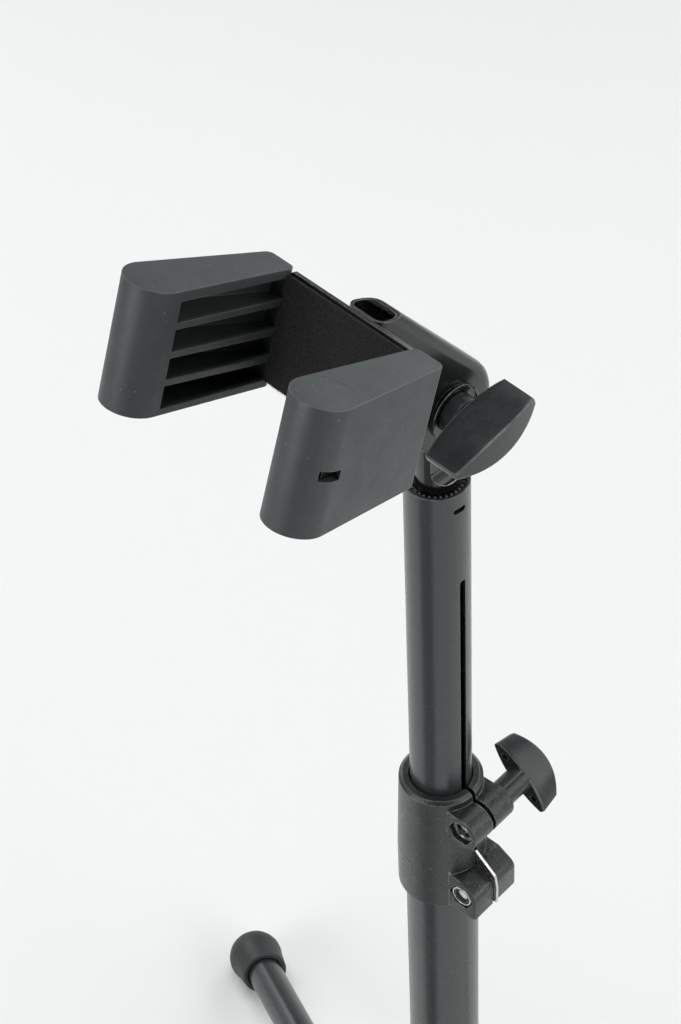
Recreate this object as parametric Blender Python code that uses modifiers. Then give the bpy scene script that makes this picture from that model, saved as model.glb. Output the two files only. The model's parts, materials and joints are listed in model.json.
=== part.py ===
"""Instrument cradle stand.

A round column in two telescoping tubes stands on three folding legs and carries a padded U-shaped cradle,
which tilts about a bolt in the column's head. Metres, +Z up, floor at z = 0, cradle open towards -Y.
"""
import math

import bmesh
import bpy
from mathutils import Matrix, Vector

# ------------------------------------------------------------------ driving dimensions
GAP = 0.0003                 # clearance between pieces that touch
FACETS = 36                  # facets round a full turn
SMALL_FACETS = 16            # facets round a small part
LEG_FACETS = 20              # facets round a leg

COLUMN = (0.0189, 0.0605)    # the column's axis on the floor, off centre because the feet are not symmetric
UPPER_TOP = 0.677            # top of the upper tube
UPPER_LENGTH = 0.430
UPPER_RADIUS = 0.0125
UPPER_BORE = 0.0113
LOWER_TOP = 0.473
LOWER_BOTTOM = 0.080
LOWER_RADIUS = 0.015
LOWER_BORE = 0.0132

# the key slot and the clamp's ears point nearly along +X; the key's play lets the two differ a little
SLOT_TURN = 3.2
CLAMP_TURN = 6.0
SLOT_WIDTH = 0.003
SLOT_TOP = -0.045            # below the upper tube's top
SLOT_BOTTOM = -0.372
COLLAR_TOP = 0.5143
COLLAR_BOTTOM = 0.449
COLLAR_RADIUS = 0.0182       # at the bottom; the casting tapers a little
COLLAR_TOP_RADIUS = 0.0171
EAR_REACH = 0.0198           # the ears' bolts, out from the column's axis
EAR_BACK = -0.012
EAR_FRONT = 0.0126
LOWER_EAR_FRONT = 0.0138
NUT_SEAT = -0.0052           # floor of both nut recesses, across the split
SPLIT_WIDTH = 0.0019
KEY_HALF = 0.0006
SCREW_SEAT = 0.0096          # floor of the lower ear's counterbore
UPPER_EAR_Z = 0.502
UPPER_EAR_RADIUS = 0.008
LOWER_EAR_Z = 0.4617

# M6 fasteners
BOLT_RADIUS = 0.00285
BOLT_BORE = 0.00315
BOLT_HOLE = 0.0033
NUT_FLATS = 0.010
NUT_RECESS_FLATS = 0.0105

# head, measured from the tilt bolt: x across, t forward to the arms, u up along the plate
TILT_RISE = 0.038            # tilt bolt above the upper tube's top
HEAD_TILT = 18.9             # the arms rise this much above level, in degrees
EYE_RADIUS = 0.0089
EYE_HALF = 0.0047
POST_RADIUS = 0.00875
BRACKET_HALF = 0.0085
BRACKET_WALL = 0.0012
BRACKET_REACH = 0.0195       # outer webs on either side of the tilt bolt
BRACKET_TAIL = 0.0026        # the round tail's centre, behind the bolt along the slope
BRACKET_SLOPE = 31.3         # the webs' slope above t, in degrees
BRACKET_FRONT = 0.051
BRACKET_TOP = 0.0455
PLATE_BACK = 0.0554
PLATE_THICKNESS = 0.0018
PLATE_LOW = 0.0050
PLATE_HIGH = 0.048
PLATE_HALF = 0.0291          # half width between the arms
FELT_THICKNESS = 0.0014
RIVET_HEIGHTS = (0.0185, 0.0345)
RIVET_RADIUS = 0.0020
RIVET_HOLE = 0.0023
SPACER_LOW = 0.010
SPACER_HIGH = 0.0415

# arms
ARM_INNER = 0.0294
ARM_BACK = 0.0551
ARM_OUTER = 0.0425           # outer face at the back
ARM_SPLAY = 9.85             # outer face's splay, in degrees
NOSE_RADIUS = 0.0112
NOSE_T = 0.1098
ARM_LOW = 0.0025             # bottom and top faces at the back
ARM_HIGH = 0.0488
TOP_RISE = 0.031             # rise of each face per unit of t
BOTTOM_RISE = 0.009
TAB_INSET = 0.0033           # steel tab's outer face, in from the arm's outer face
TAB_END = 0.1120
TAB_LOW = 0.0054
TAB_HIGH = 0.0465
RIB_HALF = 0.00125           # half thickness of the ribs between an arm's pockets
RIB_BACKS = (0.003, 0.0114, 0.0220, 0.0335, 0.0429)     # rib centres above the arm's bottom, at its back
RIB_FRONTS = (0.003, 0.0131, 0.0238, 0.0347, 0.0440)    # and at its front
WINDOW = ((0.1055, 0.0234), (0.1149, 0.0247), (0.1149, 0.0287), (0.1055, 0.0272))     # its corners as (t, u)

# legs
LEG_AZIMUTHS = (157.0, 37.0, -83.0)
LEG_SLOPE = 18.0
LEG_PIVOT_RADIUS = 0.034
LEG_PIVOT_Z = 0.105
LEG_RADIUS = 0.010
LEG_BORE = 0.0085
FOOT_CENTRE = 0.2912         # along the leg, from its pivot
FOOT_RADIUS = 0.0155
HUB_RADIUS = 0.022
HUB_BOTTOM = 0.086
HUB_TOP = 0.124
TONGUE_HALF = 0.0065
LUG_RADIUS = 0.0095

FINISHES = {                 # colour, roughness, metallic
    "black_tube": ((0.035, 0.037, 0.038), 0.42, 0.0),
    "gloss_black": ((0.012, 0.012, 0.013), 0.18, 0.0),
    "cast_black": ((0.040, 0.041, 0.042), 0.55, 0.0),
    "knob_plastic": ((0.038, 0.040, 0.041), 0.45, 0.0),
    "arm_rubber": ((0.075, 0.079, 0.081), 0.78, 0.0),
    "foot_rubber": ((0.045, 0.046, 0.047), 0.75, 0.0),
    "felt": ((0.010, 0.010, 0.010), 0.95, 0.0),
    "zinc": ((0.62, 0.62, 0.61), 0.30, 1.0),
    "nylon": ((0.12, 0.12, 0.12), 0.50, 0.0),
}


# ------------------------------------------------------------------ scene helpers
def clear_scene():
    for obj in list(bpy.data.objects):
        bpy.data.objects.remove(obj, do_unlink=True)


def make_collection(name):
    collection = bpy.data.collections.new(name)
    bpy.context.scene.collection.children.link(collection)
    return collection


def finish_material(name):
    """The Principled material of one finish, made once."""
    found = bpy.data.materials.get(name)
    if found:
        return found
    colour, roughness, metallic = FINISHES[name]
    material = bpy.data.materials.new(name)
    material.use_nodes = True
    shader = material.node_tree.nodes["Principled BSDF"]
    shader.inputs["Base Color"].default_value = (*colour, 1.0)
    shader.inputs["Roughness"].default_value = roughness
    shader.inputs["Metallic"].default_value = metallic
    return material


def turn_to(x_axis, z_axis):
    """The rotation whose own X and Z run along two perpendicular directions."""
    x = Vector(x_axis).normalized()
    z = Vector(z_axis).normalized()
    y = z.cross(x)
    return Matrix((x, y, z)).transposed()


def frame(name, parent, location, x_axis=(1, 0, 0), z_axis=(0, 0, 1)):
    """An empty that carries the pieces of one body."""
    empty = bpy.data.objects.new(name, None)
    empty.empty_display_size = 0.02
    GUIDES.objects.link(empty)
    empty.parent = parent
    empty.location = location
    empty.rotation_euler = turn_to(x_axis, z_axis).to_euler()
    return empty


def place(obj, parent, location=(0, 0, 0), x_axis=(1, 0, 0), z_axis=(0, 0, 1)):
    obj.parent = parent
    obj.location = location
    obj.rotation_euler = turn_to(x_axis, z_axis).to_euler()
    return obj


def as_part(obj, name, finish):
    """Name a piece, give it its finish and put it with the parts."""
    obj.name = name
    obj.data.name = name
    obj.data.materials.append(finish_material(finish))
    obj.data.shade_smooth()
    obj.data.set_sharp_from_angle(angle=math.radians(32))
    PARTS.objects.link(obj)
    return obj


def as_guide(obj, name):
    """Put a cutter or a joined-on shape out of sight."""
    obj.name = name
    obj.hide_render = True
    obj.display_type = "WIRE"
    if obj.name not in GUIDES.objects:
        GUIDES.objects.link(obj)
    return obj


def boolean(obj, operation, other):
    modifier = obj.modifiers.new(f"{operation.lower()}_{other.name}", "BOOLEAN")
    modifier.operation = operation
    modifier.solver = "EXACT"
    modifier.object = other


def combine(obj, operation, *others):
    """Join, cut or intersect a piece with shapes that share its parent."""
    for index, other in enumerate(others):
        as_guide(other, f"{obj.name}_{operation.lower()}_{index + len(obj.modifiers)}")
        boolean(obj, operation, other)
    return obj


# ------------------------------------------------------------------ shape helpers
def mesh_object(bm):
    bm.normal_update()
    bmesh.ops.recalc_face_normals(bm, faces=bm.faces[:])
    mesh = bpy.data.meshes.new("shape")
    bm.to_mesh(mesh)
    bm.free()
    return bpy.data.objects.new("shape", mesh)


def block(low, high):
    """A box between two corners."""
    bm = bmesh.new()
    bmesh.ops.create_cube(bm, size=1.0)
    size = Vector(high) - Vector(low)
    middle = (Vector(high) + Vector(low)) / 2
    for vert in bm.verts:
        vert.co = Vector(a * b for a, b in zip(vert.co, size)) + middle
    return mesh_object(bm)


def rod(radius, low, high, facets=SMALL_FACETS):
    """A cylinder on the local Z axis."""
    bm = bmesh.new()
    shift = Matrix.Translation((0, 0, (low + high) / 2))
    bmesh.ops.create_cone(bm, cap_ends=True, segments=facets, radius1=radius, radius2=radius,
                          depth=high - low, matrix=shift)
    return mesh_object(bm)


def hexagon(flats, low, high):
    """A hexagonal bar on the local Z axis, two flats facing +X and -X."""
    bm = bmesh.new()
    shift = Matrix.Translation((0, 0, (low + high) / 2)) @ Matrix.Rotation(math.radians(30), 4, "Z")
    across_corners = flats / math.cos(math.radians(30)) / 2
    bmesh.ops.create_cone(bm, cap_ends=True, segments=6, radius1=across_corners, radius2=across_corners,
                          depth=high - low, matrix=shift)
    return mesh_object(bm)


def turned(profile, facets=FACETS, closed=False):
    """A profile of (radius, z) points, outer side downwards, turned about the local Z axis."""
    mesh = bpy.data.meshes.new("shape")
    verts = [(radius, 0, z) for radius, z in profile]
    edges = [(i, i + 1) for i in range(len(verts) - 1)]
    if closed:
        edges.append((len(verts) - 1, 0))
    mesh.from_pydata(verts, edges, [])
    obj = bpy.data.objects.new("shape", mesh)
    screw = obj.modifiers.new("turn", "SCREW")
    screw.axis = "Z"
    screw.steps = facets
    screw.render_steps = facets
    screw.use_merge_vertices = True
    screw.merge_threshold = 0.00001
    screw.use_smooth_shade = True
    return obj


def ring(inner, outer, low, high, facets=FACETS, chamfer=0.0):
    """A turned ring of rectangular section, its outer edges chamfered."""
    profile = [(outer - chamfer, high), (outer, high - chamfer), (outer, low + chamfer),
               (outer - chamfer, low), (inner, low), (inner, high)]
    if not chamfer:
        profile = [(outer, high), (outer, low), (inner, low), (inner, high)]
    return turned(profile, facets, closed=True)


def rounded(corners, steps=5):
    """An outline from (x, y, radius) corners, each rounded by an arc."""
    outline = []
    count = len(corners)
    for index, (x, y, radius) in enumerate(corners):
        here = Vector((x, y))
        if not radius:
            outline.append(here)
            continue
        before = (Vector(corners[index - 1][:2]) - here).normalized()
        after = (Vector(corners[(index + 1) % count][:2]) - here).normalized()
        half = before.angle(after) / 2
        start = here + before * radius / math.tan(half)
        end = here + after * radius / math.tan(half)
        centre = here + (before + after).normalized() * radius / math.sin(half)
        first = start - centre
        sweep = first.angle_signed(end - centre)
        for step in range(steps + 1):
            # Vector.angle_signed is clockwise, so the turn is the other way
            angle = -sweep * step / steps
            turned_to = Matrix.Rotation(angle, 2) @ first
            outline.append(centre + turned_to)
    return outline


def arc(centre, radius, start, end, steps):
    """Points on an arc, its ends included; angles in degrees from +X."""
    angles = [math.radians(start + (end - start) * step / steps) for step in range(steps + 1)]
    return [Vector((centre[0] + radius * math.cos(a), centre[1] + radius * math.sin(a))) for a in angles]


def prism(outline, low, high, x_axis=(1, 0, 0), z_axis=(0, 0, 1)):
    """A flat outline in a frame's XY plane, filled and extruded along that frame's Z."""
    curve = bpy.data.curves.new("outline", "CURVE")
    curve.dimensions = "2D"
    curve.fill_mode = "BOTH"
    curve.extrude = (high - low) / 2
    spline = curve.splines.new("POLY")
    spline.points.add(len(outline) - 1)
    for point, (x, y) in zip(spline.points, outline):
        point.co = (x, y, 0, 1)
    spline.use_cyclic_u = True
    holder = bpy.data.objects.new("outline", curve)
    GUIDES.objects.link(holder)
    view = bpy.context.evaluated_depsgraph_get()
    mesh = bpy.data.meshes.new_from_object(holder.evaluated_get(view))
    bpy.data.objects.remove(holder)
    bm = bmesh.new()
    bm.from_mesh(mesh)
    bpy.data.meshes.remove(mesh)
    bmesh.ops.remove_doubles(bm, verts=bm.verts[:], dist=0.000001)
    bmesh.ops.dissolve_limit(bm, angle_limit=0.001, verts=bm.verts[:], edges=bm.edges[:])
    shift = Matrix.Translation((0, 0, (low + high) / 2))
    bmesh.ops.transform(bm, matrix=turn_to(x_axis, z_axis).to_4x4() @ shift, verts=bm.verts[:])
    return mesh_object(bm)


def bevel(obj, width, segments=2, angle=40):
    modifier = obj.modifiers.new("round_edges", "BEVEL")
    modifier.width = width
    modifier.segments = segments
    modifier.limit_method = "ANGLE"
    modifier.angle_limit = math.radians(angle)
    return obj


def bevel_sides(obj, width, segments, top):
    """Round the edges of an upright prism's two side faces, but not those at its open top."""
    mesh = obj.data
    weight = mesh.attributes.new("bevel_weight_edge", "FLOAT", "EDGE")
    for edge in mesh.edges:
        first, second = (mesh.vertices[index].co for index in edge.vertices)
        on_side = abs(first.x - second.x) < 0.00001
        at_top = min(first.z, second.z) > top - 0.00001
        weight.data[edge.index].value = 1.0 if on_side and not at_top else 0.0
    modifier = obj.modifiers.new("round_sides", "BEVEL")
    modifier.width = width
    modifier.segments = segments
    modifier.limit_method = "WEIGHT"
    return obj


def lens(length, half_width, tip):
    """A pointed oval outline with blunt tips, its chord on X."""
    half = length / 2
    swell = half_width - tip
    radius = (half * half + swell * swell) / (2 * swell)
    reach = math.degrees(math.asin(half / radius))
    upper = arc((0, half_width - radius), radius, 90 - reach, 90 + reach, 14)
    lower = arc((0, radius - half_width), radius, 270 - reach, 270 + reach, 14)
    return upper + lower


# ------------------------------------------------------------------ column
def make_upper_tube(upper):
    """The tube with its key slot, and the oval notch that pins the post."""
    tube = ring(UPPER_BORE, UPPER_RADIUS, -UPPER_LENGTH, 0, chamfer=0.0003)
    place(tube, upper)
    as_part(tube, "upper_tube", "black_tube")
    turn = math.radians(SLOT_TURN)
    out = (math.cos(turn), math.sin(turn), 0)
    half = SLOT_WIDTH / 2
    slot = arc((SLOT_TOP - half, 0), half, -90, 90, 6) + arc((SLOT_BOTTOM + half, 0), half, 90, 270, 6)
    slot_cutter = place(prism(slot, 0.008, 0.016, x_axis=(0, 0, 1), z_axis=out), upper)
    notch_turn = math.radians(-2.3)
    notch_out = (math.cos(notch_turn), math.sin(notch_turn), 0)
    notch = arc((0, 0.00175), 0.00125, 0, 180, 6) + arc((0, -0.00175), 0.00125, 180, 360, 6)
    notch_cutter = prism(notch, 0.008, 0.016, x_axis=(0, 0, 1), z_axis=notch_out)
    place(notch_cutter, upper, (0, 0, -0.008))
    combine(tube, "DIFFERENCE", slot_cutter, notch_cutter)


def make_guide_bush(upper):
    """A flanged bush on the upper tube's lower end, which guides it in the lower tube."""
    spigot = UPPER_BORE - GAP
    flange = LOWER_BORE - GAP
    profile = [(spigot, 0.015), (spigot, -GAP), (flange, -GAP), (flange, -0.004), (0.008, -0.004), (0.008, 0.015)]
    bush = place(turned(profile, SMALL_FACETS, closed=True), upper, (0, 0, -UPPER_LENGTH))
    as_part(bush, "guide_bush", "knob_plastic")


def make_lower_tube(stand):
    tube = ring(LOWER_BORE, LOWER_RADIUS, LOWER_BOTTOM, LOWER_TOP, chamfer=0.0004)
    as_part(place(tube, stand), "lower_tube", "black_tube")


def make_column_plug(stand):
    """The plastic plug in the column's bottom end."""
    stem = LOWER_BORE - GAP
    profile = [(0, 0.0085), (stem - 0.001, 0.0085), (stem, 0.0075), (stem, -GAP), (LOWER_RADIUS, -GAP),
               (LOWER_RADIUS, -0.002), (LOWER_RADIUS - 0.001, -0.003), (0, -0.003)]
    plug = place(turned(profile, SMALL_FACETS), stand, (0, 0, LOWER_BOTTOM))
    as_part(plug, "column_plug", "knob_plastic")


def make_tilt_post(upper):
    """The post: a plug in the tube, a round neck, and an eye milled flat on both sides."""
    neck = turned([(0, TILT_RISE + 0.012), (POST_RADIUS, TILT_RISE + 0.012), (POST_RADIUS, -0.0023),
                   (UPPER_BORE - GAP, -0.0023), (UPPER_BORE - GAP, -0.031), (0.0095, -0.0325), (0, -0.0325)])
    post = as_part(place(neck, upper), "tilt_post", "gloss_black")
    eye = arc((0, TILT_RISE), EYE_RADIUS, 0, 180, 16) + [Vector((-0.012, 0.020)), Vector((-0.012, -0.040)),
                                                           Vector((0.012, -0.040)), Vector((0.012, 0.020))]
    side = place(prism(eye, -0.02, 0.02, x_axis=(0, 1, 0), z_axis=(1, 0, 0)), upper)
    fillet = 0.0075
    reach = math.degrees(math.acos(1 - (POST_RADIUS + 0.0006 - EYE_HALF) / fillet))
    fillet_z = 0.0095
    sweep = arc((EYE_HALF + fillet, fillet_z), fillet, 180, 180 + reach, 7)
    foot_z = sweep[-1][1]
    right = [Vector((0.013, -0.040)), Vector((0.013, foot_z))] + sweep[::-1] + [Vector((EYE_HALF, 0.060))]
    left = [Vector((-x, z)) for x, z in reversed(right)]
    front = place(prism(right + left, -0.02, 0.02, x_axis=(1, 0, 0), z_axis=(0, -1, 0)), upper)
    combine(post, "INTERSECT", side, front)
    hole = place(rod(BOLT_HOLE, -0.012, 0.012), upper, (0, 0, TILT_RISE), (0, 1, 0), (1, 0, 0))
    combine(post, "DIFFERENCE", hole)


def make_grip_ring(upper):
    """The toothed spring ring round the post's neck, just inside the tube's mouth."""
    inner = POST_RADIUS + GAP
    outer = UPPER_BORE - 0.0002
    teeth = 28
    outline = []
    for step in range(teeth * 2):
        radius = outer if step % 2 else outer - 0.0008
        angle = math.pi * step / teeth
        outline.append(Vector((radius * math.cos(angle), radius * math.sin(angle))))
    toothed = as_part(place(prism(outline, -0.0020, -0.0010), upper), "grip_ring", "gloss_black")
    combine(toothed, "DIFFERENCE", place(rod(inner, -0.01, 0.01, FACETS), upper))


# ------------------------------------------------------------------ clamp
def hex_nut(low, high, flats=NUT_FLATS):
    """A hex nut on the local Z axis, its outer corners chamfered."""
    corner = flats / math.cos(math.radians(30)) / 2
    face = flats / 2
    chamfer = 0.0005
    profile = [(0, high), (face, high), (corner, high - chamfer), (corner + 0.001, low), (0, low)]
    nut = hexagon(flats, low, high)
    return nut, turned(profile, SMALL_FACETS)


def make_nut(name, parent, location, x_axis, z_axis, low, high):
    """A chamfered hex nut with its bore, as a piece."""
    nut, crown = hex_nut(low, high)
    as_part(place(nut, parent, location, x_axis, z_axis), name, "zinc")
    place(crown, parent, location, x_axis, z_axis)
    combine(nut, "INTERSECT", crown)
    bore = place(rod(BOLT_BORE, low - 0.002, high + 0.002), parent, location, x_axis, z_axis)
    combine(nut, "DIFFERENCE", bore)
    return nut


def make_clamp_collar(clamp):
    """The cast split collar: a stepped ring, a barrel-shaped upper ear and squared lower ears."""
    profile = [(COLLAR_TOP_RADIUS - 0.0014, COLLAR_TOP), (COLLAR_TOP_RADIUS, COLLAR_TOP - 0.0014),
               (COLLAR_RADIUS, LOWER_TOP), (COLLAR_RADIUS, COLLAR_BOTTOM + 0.0025),
               (COLLAR_RADIUS - 0.0022, COLLAR_BOTTOM), (0.010, COLLAR_BOTTOM), (0.010, COLLAR_TOP)]
    collar = as_part(place(turned(profile, closed=True), clamp), "clamp_collar", "cast_black")
    barrel = rod(UPPER_EAR_RADIUS, EAR_BACK, EAR_FRONT, 32)
    bevel(place(barrel, clamp, (EAR_REACH, 0, UPPER_EAR_Z), (1, 0, 0), (0, 1, 0)), 0.0006)
    inset = 0.0004
    root = block((0.011, EAR_BACK + inset, UPPER_EAR_Z - UPPER_EAR_RADIUS + inset),
                 (EAR_REACH, EAR_FRONT - inset, UPPER_EAR_Z + UPPER_EAR_RADIUS - inset))
    place(root, clamp)
    ear = rounded([(0.011, 0.4715, 0), (0.0190, 0.4710, 0.003), (0.0277, 0.4660, 0.005), (0.0277, 0.4516, 0.002),
                   (0.011, 0.4516, 0)])
    ears = bevel(place(prism(ear, -LOWER_EAR_FRONT, -EAR_BACK, (1, 0, 0), (0, -1, 0)), clamp), 0.0008)
    combine(collar, "UNION", barrel, root, ears)
    stepped = [(0, 0.520), (0.0131, 0.520), (0.0131, LOWER_TOP + GAP), (LOWER_RADIUS + GAP, LOWER_TOP + GAP),
               (LOWER_RADIUS + GAP, 0.440), (0, 0.440)]
    bore = place(turned(stepped), clamp)
    split = place(block((0.008, -SPLIT_WIDTH / 2, 0.440), (0.040, SPLIT_WIDTH / 2, 0.520)), clamp)
    combine(collar, "DIFFERENCE", bore, split)
    for height in (UPPER_EAR_Z, LOWER_EAR_Z):
        at = (EAR_REACH, 0, height)
        hole = place(rod(BOLT_HOLE, -0.016, 0.016), clamp, at, (1, 0, 0), (0, 1, 0))
        recess = place(hexagon(NUT_RECESS_FLATS, -0.016, NUT_SEAT), clamp, at, (1, 0, 0), (0, 1, 0))
        combine(collar, "DIFFERENCE", hole, recess)
    seat = place(rod(0.0054, SCREW_SEAT, 0.016), clamp, (EAR_REACH, 0, LOWER_EAR_Z), (1, 0, 0), (0, 1, 0))
    combine(collar, "DIFFERENCE", seat)


def make_clamp_nuts(clamp):
    """The captive nut of the upper ear, and the lower ear's lock nut with its nylon ring."""
    inner_face = NUT_SEAT - GAP
    outwards = (0, -1, 0)
    make_nut("clamp_nut", clamp, (EAR_REACH, 0, UPPER_EAR_Z), (1, 0, 0), outwards, -inner_face, -inner_face + 0.005)
    at = (EAR_REACH, 0, LOWER_EAR_Z)
    lock, crown = hex_nut(-inner_face, -inner_face + 0.0040)
    as_part(place(lock, clamp, at, (1, 0, 0), outwards), "lock_nut", "zinc")
    combine(lock, "INTERSECT", place(crown, clamp, at, (1, 0, 0), outwards))
    dome = [(0, 0.0116), (0.0042, 0.0116), (0.0048, 0.0110), (0.0048, 0.0080), (0, 0.0080)]
    combine(lock, "UNION", place(turned(dome, SMALL_FACETS), clamp, at, (1, 0, 0), outwards))
    bore = place(rod(BOLT_BORE, 0, 0.014), clamp, at, (1, 0, 0), outwards)
    groove = place(rod(0.0041, 0.0096, 0.014), clamp, at, (1, 0, 0), outwards)
    combine(lock, "DIFFERENCE", bore, groove)
    nylon = ring(BOLT_BORE, 0.0041 - GAP, 0.0096 + GAP, 0.0113, SMALL_FACETS)
    as_part(place(nylon, clamp, at, (1, 0, 0), outwards), "lock_nut_ring", "nylon")


def make_clamp_screw(clamp):
    """The lower ears' socket-head screw."""
    head = 0.0048
    seat = SCREW_SEAT + GAP
    profile = [(0, seat + 0.0038), (head - 0.0004, seat + 0.0038), (head, seat + 0.0034), (head, seat),
               (BOLT_RADIUS, seat), (BOLT_RADIUS, -0.0097), (0.0022, -0.0104), (0, -0.0104)]
    at = (EAR_REACH, 0, LOWER_EAR_Z)
    screw = place(turned(profile, SMALL_FACETS), clamp, at, (1, 0, 0), (0, 1, 0))
    as_part(screw, "clamp_screw", "zinc")
    socket = place(hexagon(0.004, seat + 0.0014, seat + 0.006), clamp, at, (1, 0, 0), (0, 1, 0))
    combine(screw, "DIFFERENCE", socket)


def make_key_tongue(clamp):
    """The steel key in the collar's split, whose tab runs in the upper tube's slot."""
    outline = rounded([(0.0098, 0.4795, 0), (0.0180, 0.4790, 0.001), (0.0283, 0.4702, 0.0025), (0.0293, 0.4640, 0.002),
                       (0.0293, 0.4545, 0.0006), (0.0157, 0.4545, 0), (0.0157, 0.4736, 0), (0.0098, 0.4736, 0)])
    key = place(prism(outline, -KEY_HALF, KEY_HALF, (1, 0, 0), (0, -1, 0)), clamp)
    as_part(key, "key_tongue", "zinc")
    hole = place(rod(BOLT_HOLE, -0.01, 0.01), clamp, (EAR_REACH, 0, LOWER_EAR_Z), (1, 0, 0), (0, 1, 0))
    combine(key, "DIFFERENCE", hole)


# ------------------------------------------------------------------ knobs
def make_knob(name, body, length, top_length, half_width, tip, base, shoulder, tip_top, crown, stem_radius, bore_end):
    """A wing knob on the local Z axis: a stem from base to shoulder, and a domed lens-shaped grip above it.

    The grip is length long at its shoulder and top_length long where its dome begins."""
    grip = bevel(prism(lens(length + 0.002, half_width, tip), shoulder, crown + 0.001), 0.0005)
    as_part(place(grip, body), name, "knob_plastic")
    half = length / 2
    top_half = top_length / 2
    rise = crown - tip_top
    radius = (top_half * top_half + rise * rise) / (2 * rise)
    reach = math.degrees(math.asin(top_half / radius))
    below = shoulder - 0.002
    below_half = half + 0.002 * (half - top_half) / (tip_top - shoulder)
    domed = [Vector((-below_half, below)), Vector((below_half, below))]
    domed += arc((0, crown - radius), radius, 90 - reach, 90 + reach, 16)
    side = bevel(place(prism(domed, -0.02, 0.02, (1, 0, 0), (0, -1, 0)), body), 0.0004)
    combine(grip, "INTERSECT", side)
    stem = place(rod(stem_radius, base, shoulder + 0.002, 32), body)
    combine(grip, "UNION", stem)
    bore = place(rod(BOLT_BORE, base - 0.002, bore_end), body)
    combine(grip, "DIFFERENCE", bore)
    return grip


def make_stud(name, body, low, high):
    """A threaded stud moulded into a knob, chamfered at both ends."""
    profile = [(0, high), (0.0022, high), (BOLT_RADIUS, high - 0.0007), (BOLT_RADIUS, low + 0.0007), (0.0022, low),
               (0, low)]
    as_part(place(turned(profile, SMALL_FACETS), body), name, "zinc")


def make_clamp_knob(clamp_knob):
    grip = make_knob("clamp_knob", clamp_knob, length=0.0346, top_length=0.0316, half_width=0.0053, tip=0.0015,
                     base=EAR_FRONT + GAP, shoulder=0.0256, tip_top=0.0352, crown=0.0392,
                     stem_radius=0.0058, bore_end=0.0303)
    for side in (-1, 1):
        hole = place(rod(0.00175, 0.020, 0.0290, 16), clamp_knob, (side * 0.0105, 0, 0))
        combine(grip, "DIFFERENCE", hole)
    make_stud("clamp_bolt", clamp_knob, -0.0088, 0.030)


def make_tilt_knob(tilt_knob):
    make_knob("tilt_knob", tilt_knob, length=0.0412, top_length=0.0408, half_width=0.0062, tip=0.0015,
              base=0.0099, shoulder=0.015, tip_top=0.030, crown=0.0338,
              stem_radius=0.008, bore_end=0.0250)
    make_stud("tilt_bolt", tilt_knob, -0.0158, 0.0247)


# ------------------------------------------------------------------ head
def web_point(t, offset):
    """Height u of the line that runs up the bracket's slope at an offset from the tilt bolt."""
    slope = math.radians(BRACKET_SLOPE)
    return (offset + t * math.sin(slope)) / math.cos(slope)


def bracket_outline(reach, front, top):
    """The bracket's side outline as (t, u): a round tail, two sloping webs and an upright front."""
    slope = math.radians(BRACKET_SLOPE)
    upper_t = (top * math.cos(slope) - reach) / math.sin(slope)
    behind = (-BRACKET_TAIL * math.cos(slope), -BRACKET_TAIL * math.sin(slope))
    tail = arc(behind, reach, BRACKET_SLOPE + 90, BRACKET_SLOPE + 270, 16)
    corners = [Vector((front, web_point(front, -reach))), Vector((front, top)), Vector((upper_t, top))]
    return tail + corners


def side_prism(outline, low, high):
    """A prism across the head from an outline of (t, u) points; t runs along the frame's -Y."""
    return prism([Vector((-t, u)) for t, u in outline], low, high, x_axis=(0, 1, 0), z_axis=(1, 0, 0))


def make_head_bracket(head):
    """The pressed bracket: a flattened tube with an open mouth on top, open below round the post."""
    outer = side_prism(bracket_outline(BRACKET_REACH, BRACKET_FRONT, BRACKET_TOP), -BRACKET_HALF, BRACKET_HALF)
    bevel_sides(outer, 0.0045, 4, BRACKET_TOP)
    as_part(place(outer, head), "head_bracket", "gloss_black")
    half = BRACKET_HALF - BRACKET_WALL
    above = BRACKET_TOP + 0.001
    hollow = side_prism(bracket_outline(BRACKET_REACH - BRACKET_WALL, BRACKET_FRONT - BRACKET_WALL, above),
                        -half, half)
    bevel_sides(place(hollow, head), 0.0033, 4, above)
    wedge = [Vector((0, 0))] + arc((0, 0), 0.045, 182, 342, 12)
    below = place(side_prism(wedge, -half, half), head)
    hole = place(rod(BOLT_HOLE, -0.012, 0.012), head, (0, 0, 0), (0, 1, 0), (1, 0, 0))
    combine(outer, "DIFFERENCE", hollow, below, hole)
    for height in RIVET_HEIGHTS:
        rivet_hole = rod(RIVET_HOLE, BRACKET_FRONT - 0.004, BRACKET_FRONT + 0.002)
        combine(outer, "DIFFERENCE", place(rivet_hole, head, (0, 0, height), (1, 0, 0), (0, -1, 0)))


def make_spacer(head):
    """The steel pad between the bracket's front wall and the plate."""
    pad = block((-0.0065, -(PLATE_BACK - GAP), SPACER_LOW), (0.0065, -(BRACKET_FRONT + GAP), SPACER_HIGH))
    bevel(as_part(place(pad, head), "plate_spacer", "gloss_black"), 0.0006)
    for height in RIVET_HEIGHTS:
        hole = place(rod(RIVET_HOLE, 0.045, 0.065), head, (0, 0, height), (1, 0, 0), (0, -1, 0))
        combine(pad, "DIFFERENCE", hole)


def make_rivets(head):
    """Two rivets through the plate, the spacer and the bracket's front wall."""
    inside = BRACKET_FRONT - BRACKET_WALL - GAP
    front = PLATE_BACK + PLATE_THICKNESS
    for index, height in enumerate(RIVET_HEIGHTS):
        profile = [(0, front), (RIVET_RADIUS, front), (RIVET_RADIUS, inside), (0.0036, inside),
                   (0.0032, inside - 0.0013), (0, inside - 0.0017)]
        rivet = place(turned(profile, SMALL_FACETS), head, (0, 0, height), (1, 0, 0), (0, -1, 0))
        as_part(rivet, f"plate_rivet_{index + 1}", "zinc")


def arm_outer(t):
    """The arm's outer face across from the middle, at a distance t forward."""
    return ARM_OUTER + (t - ARM_BACK) * math.tan(math.radians(ARM_SPLAY))


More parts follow.
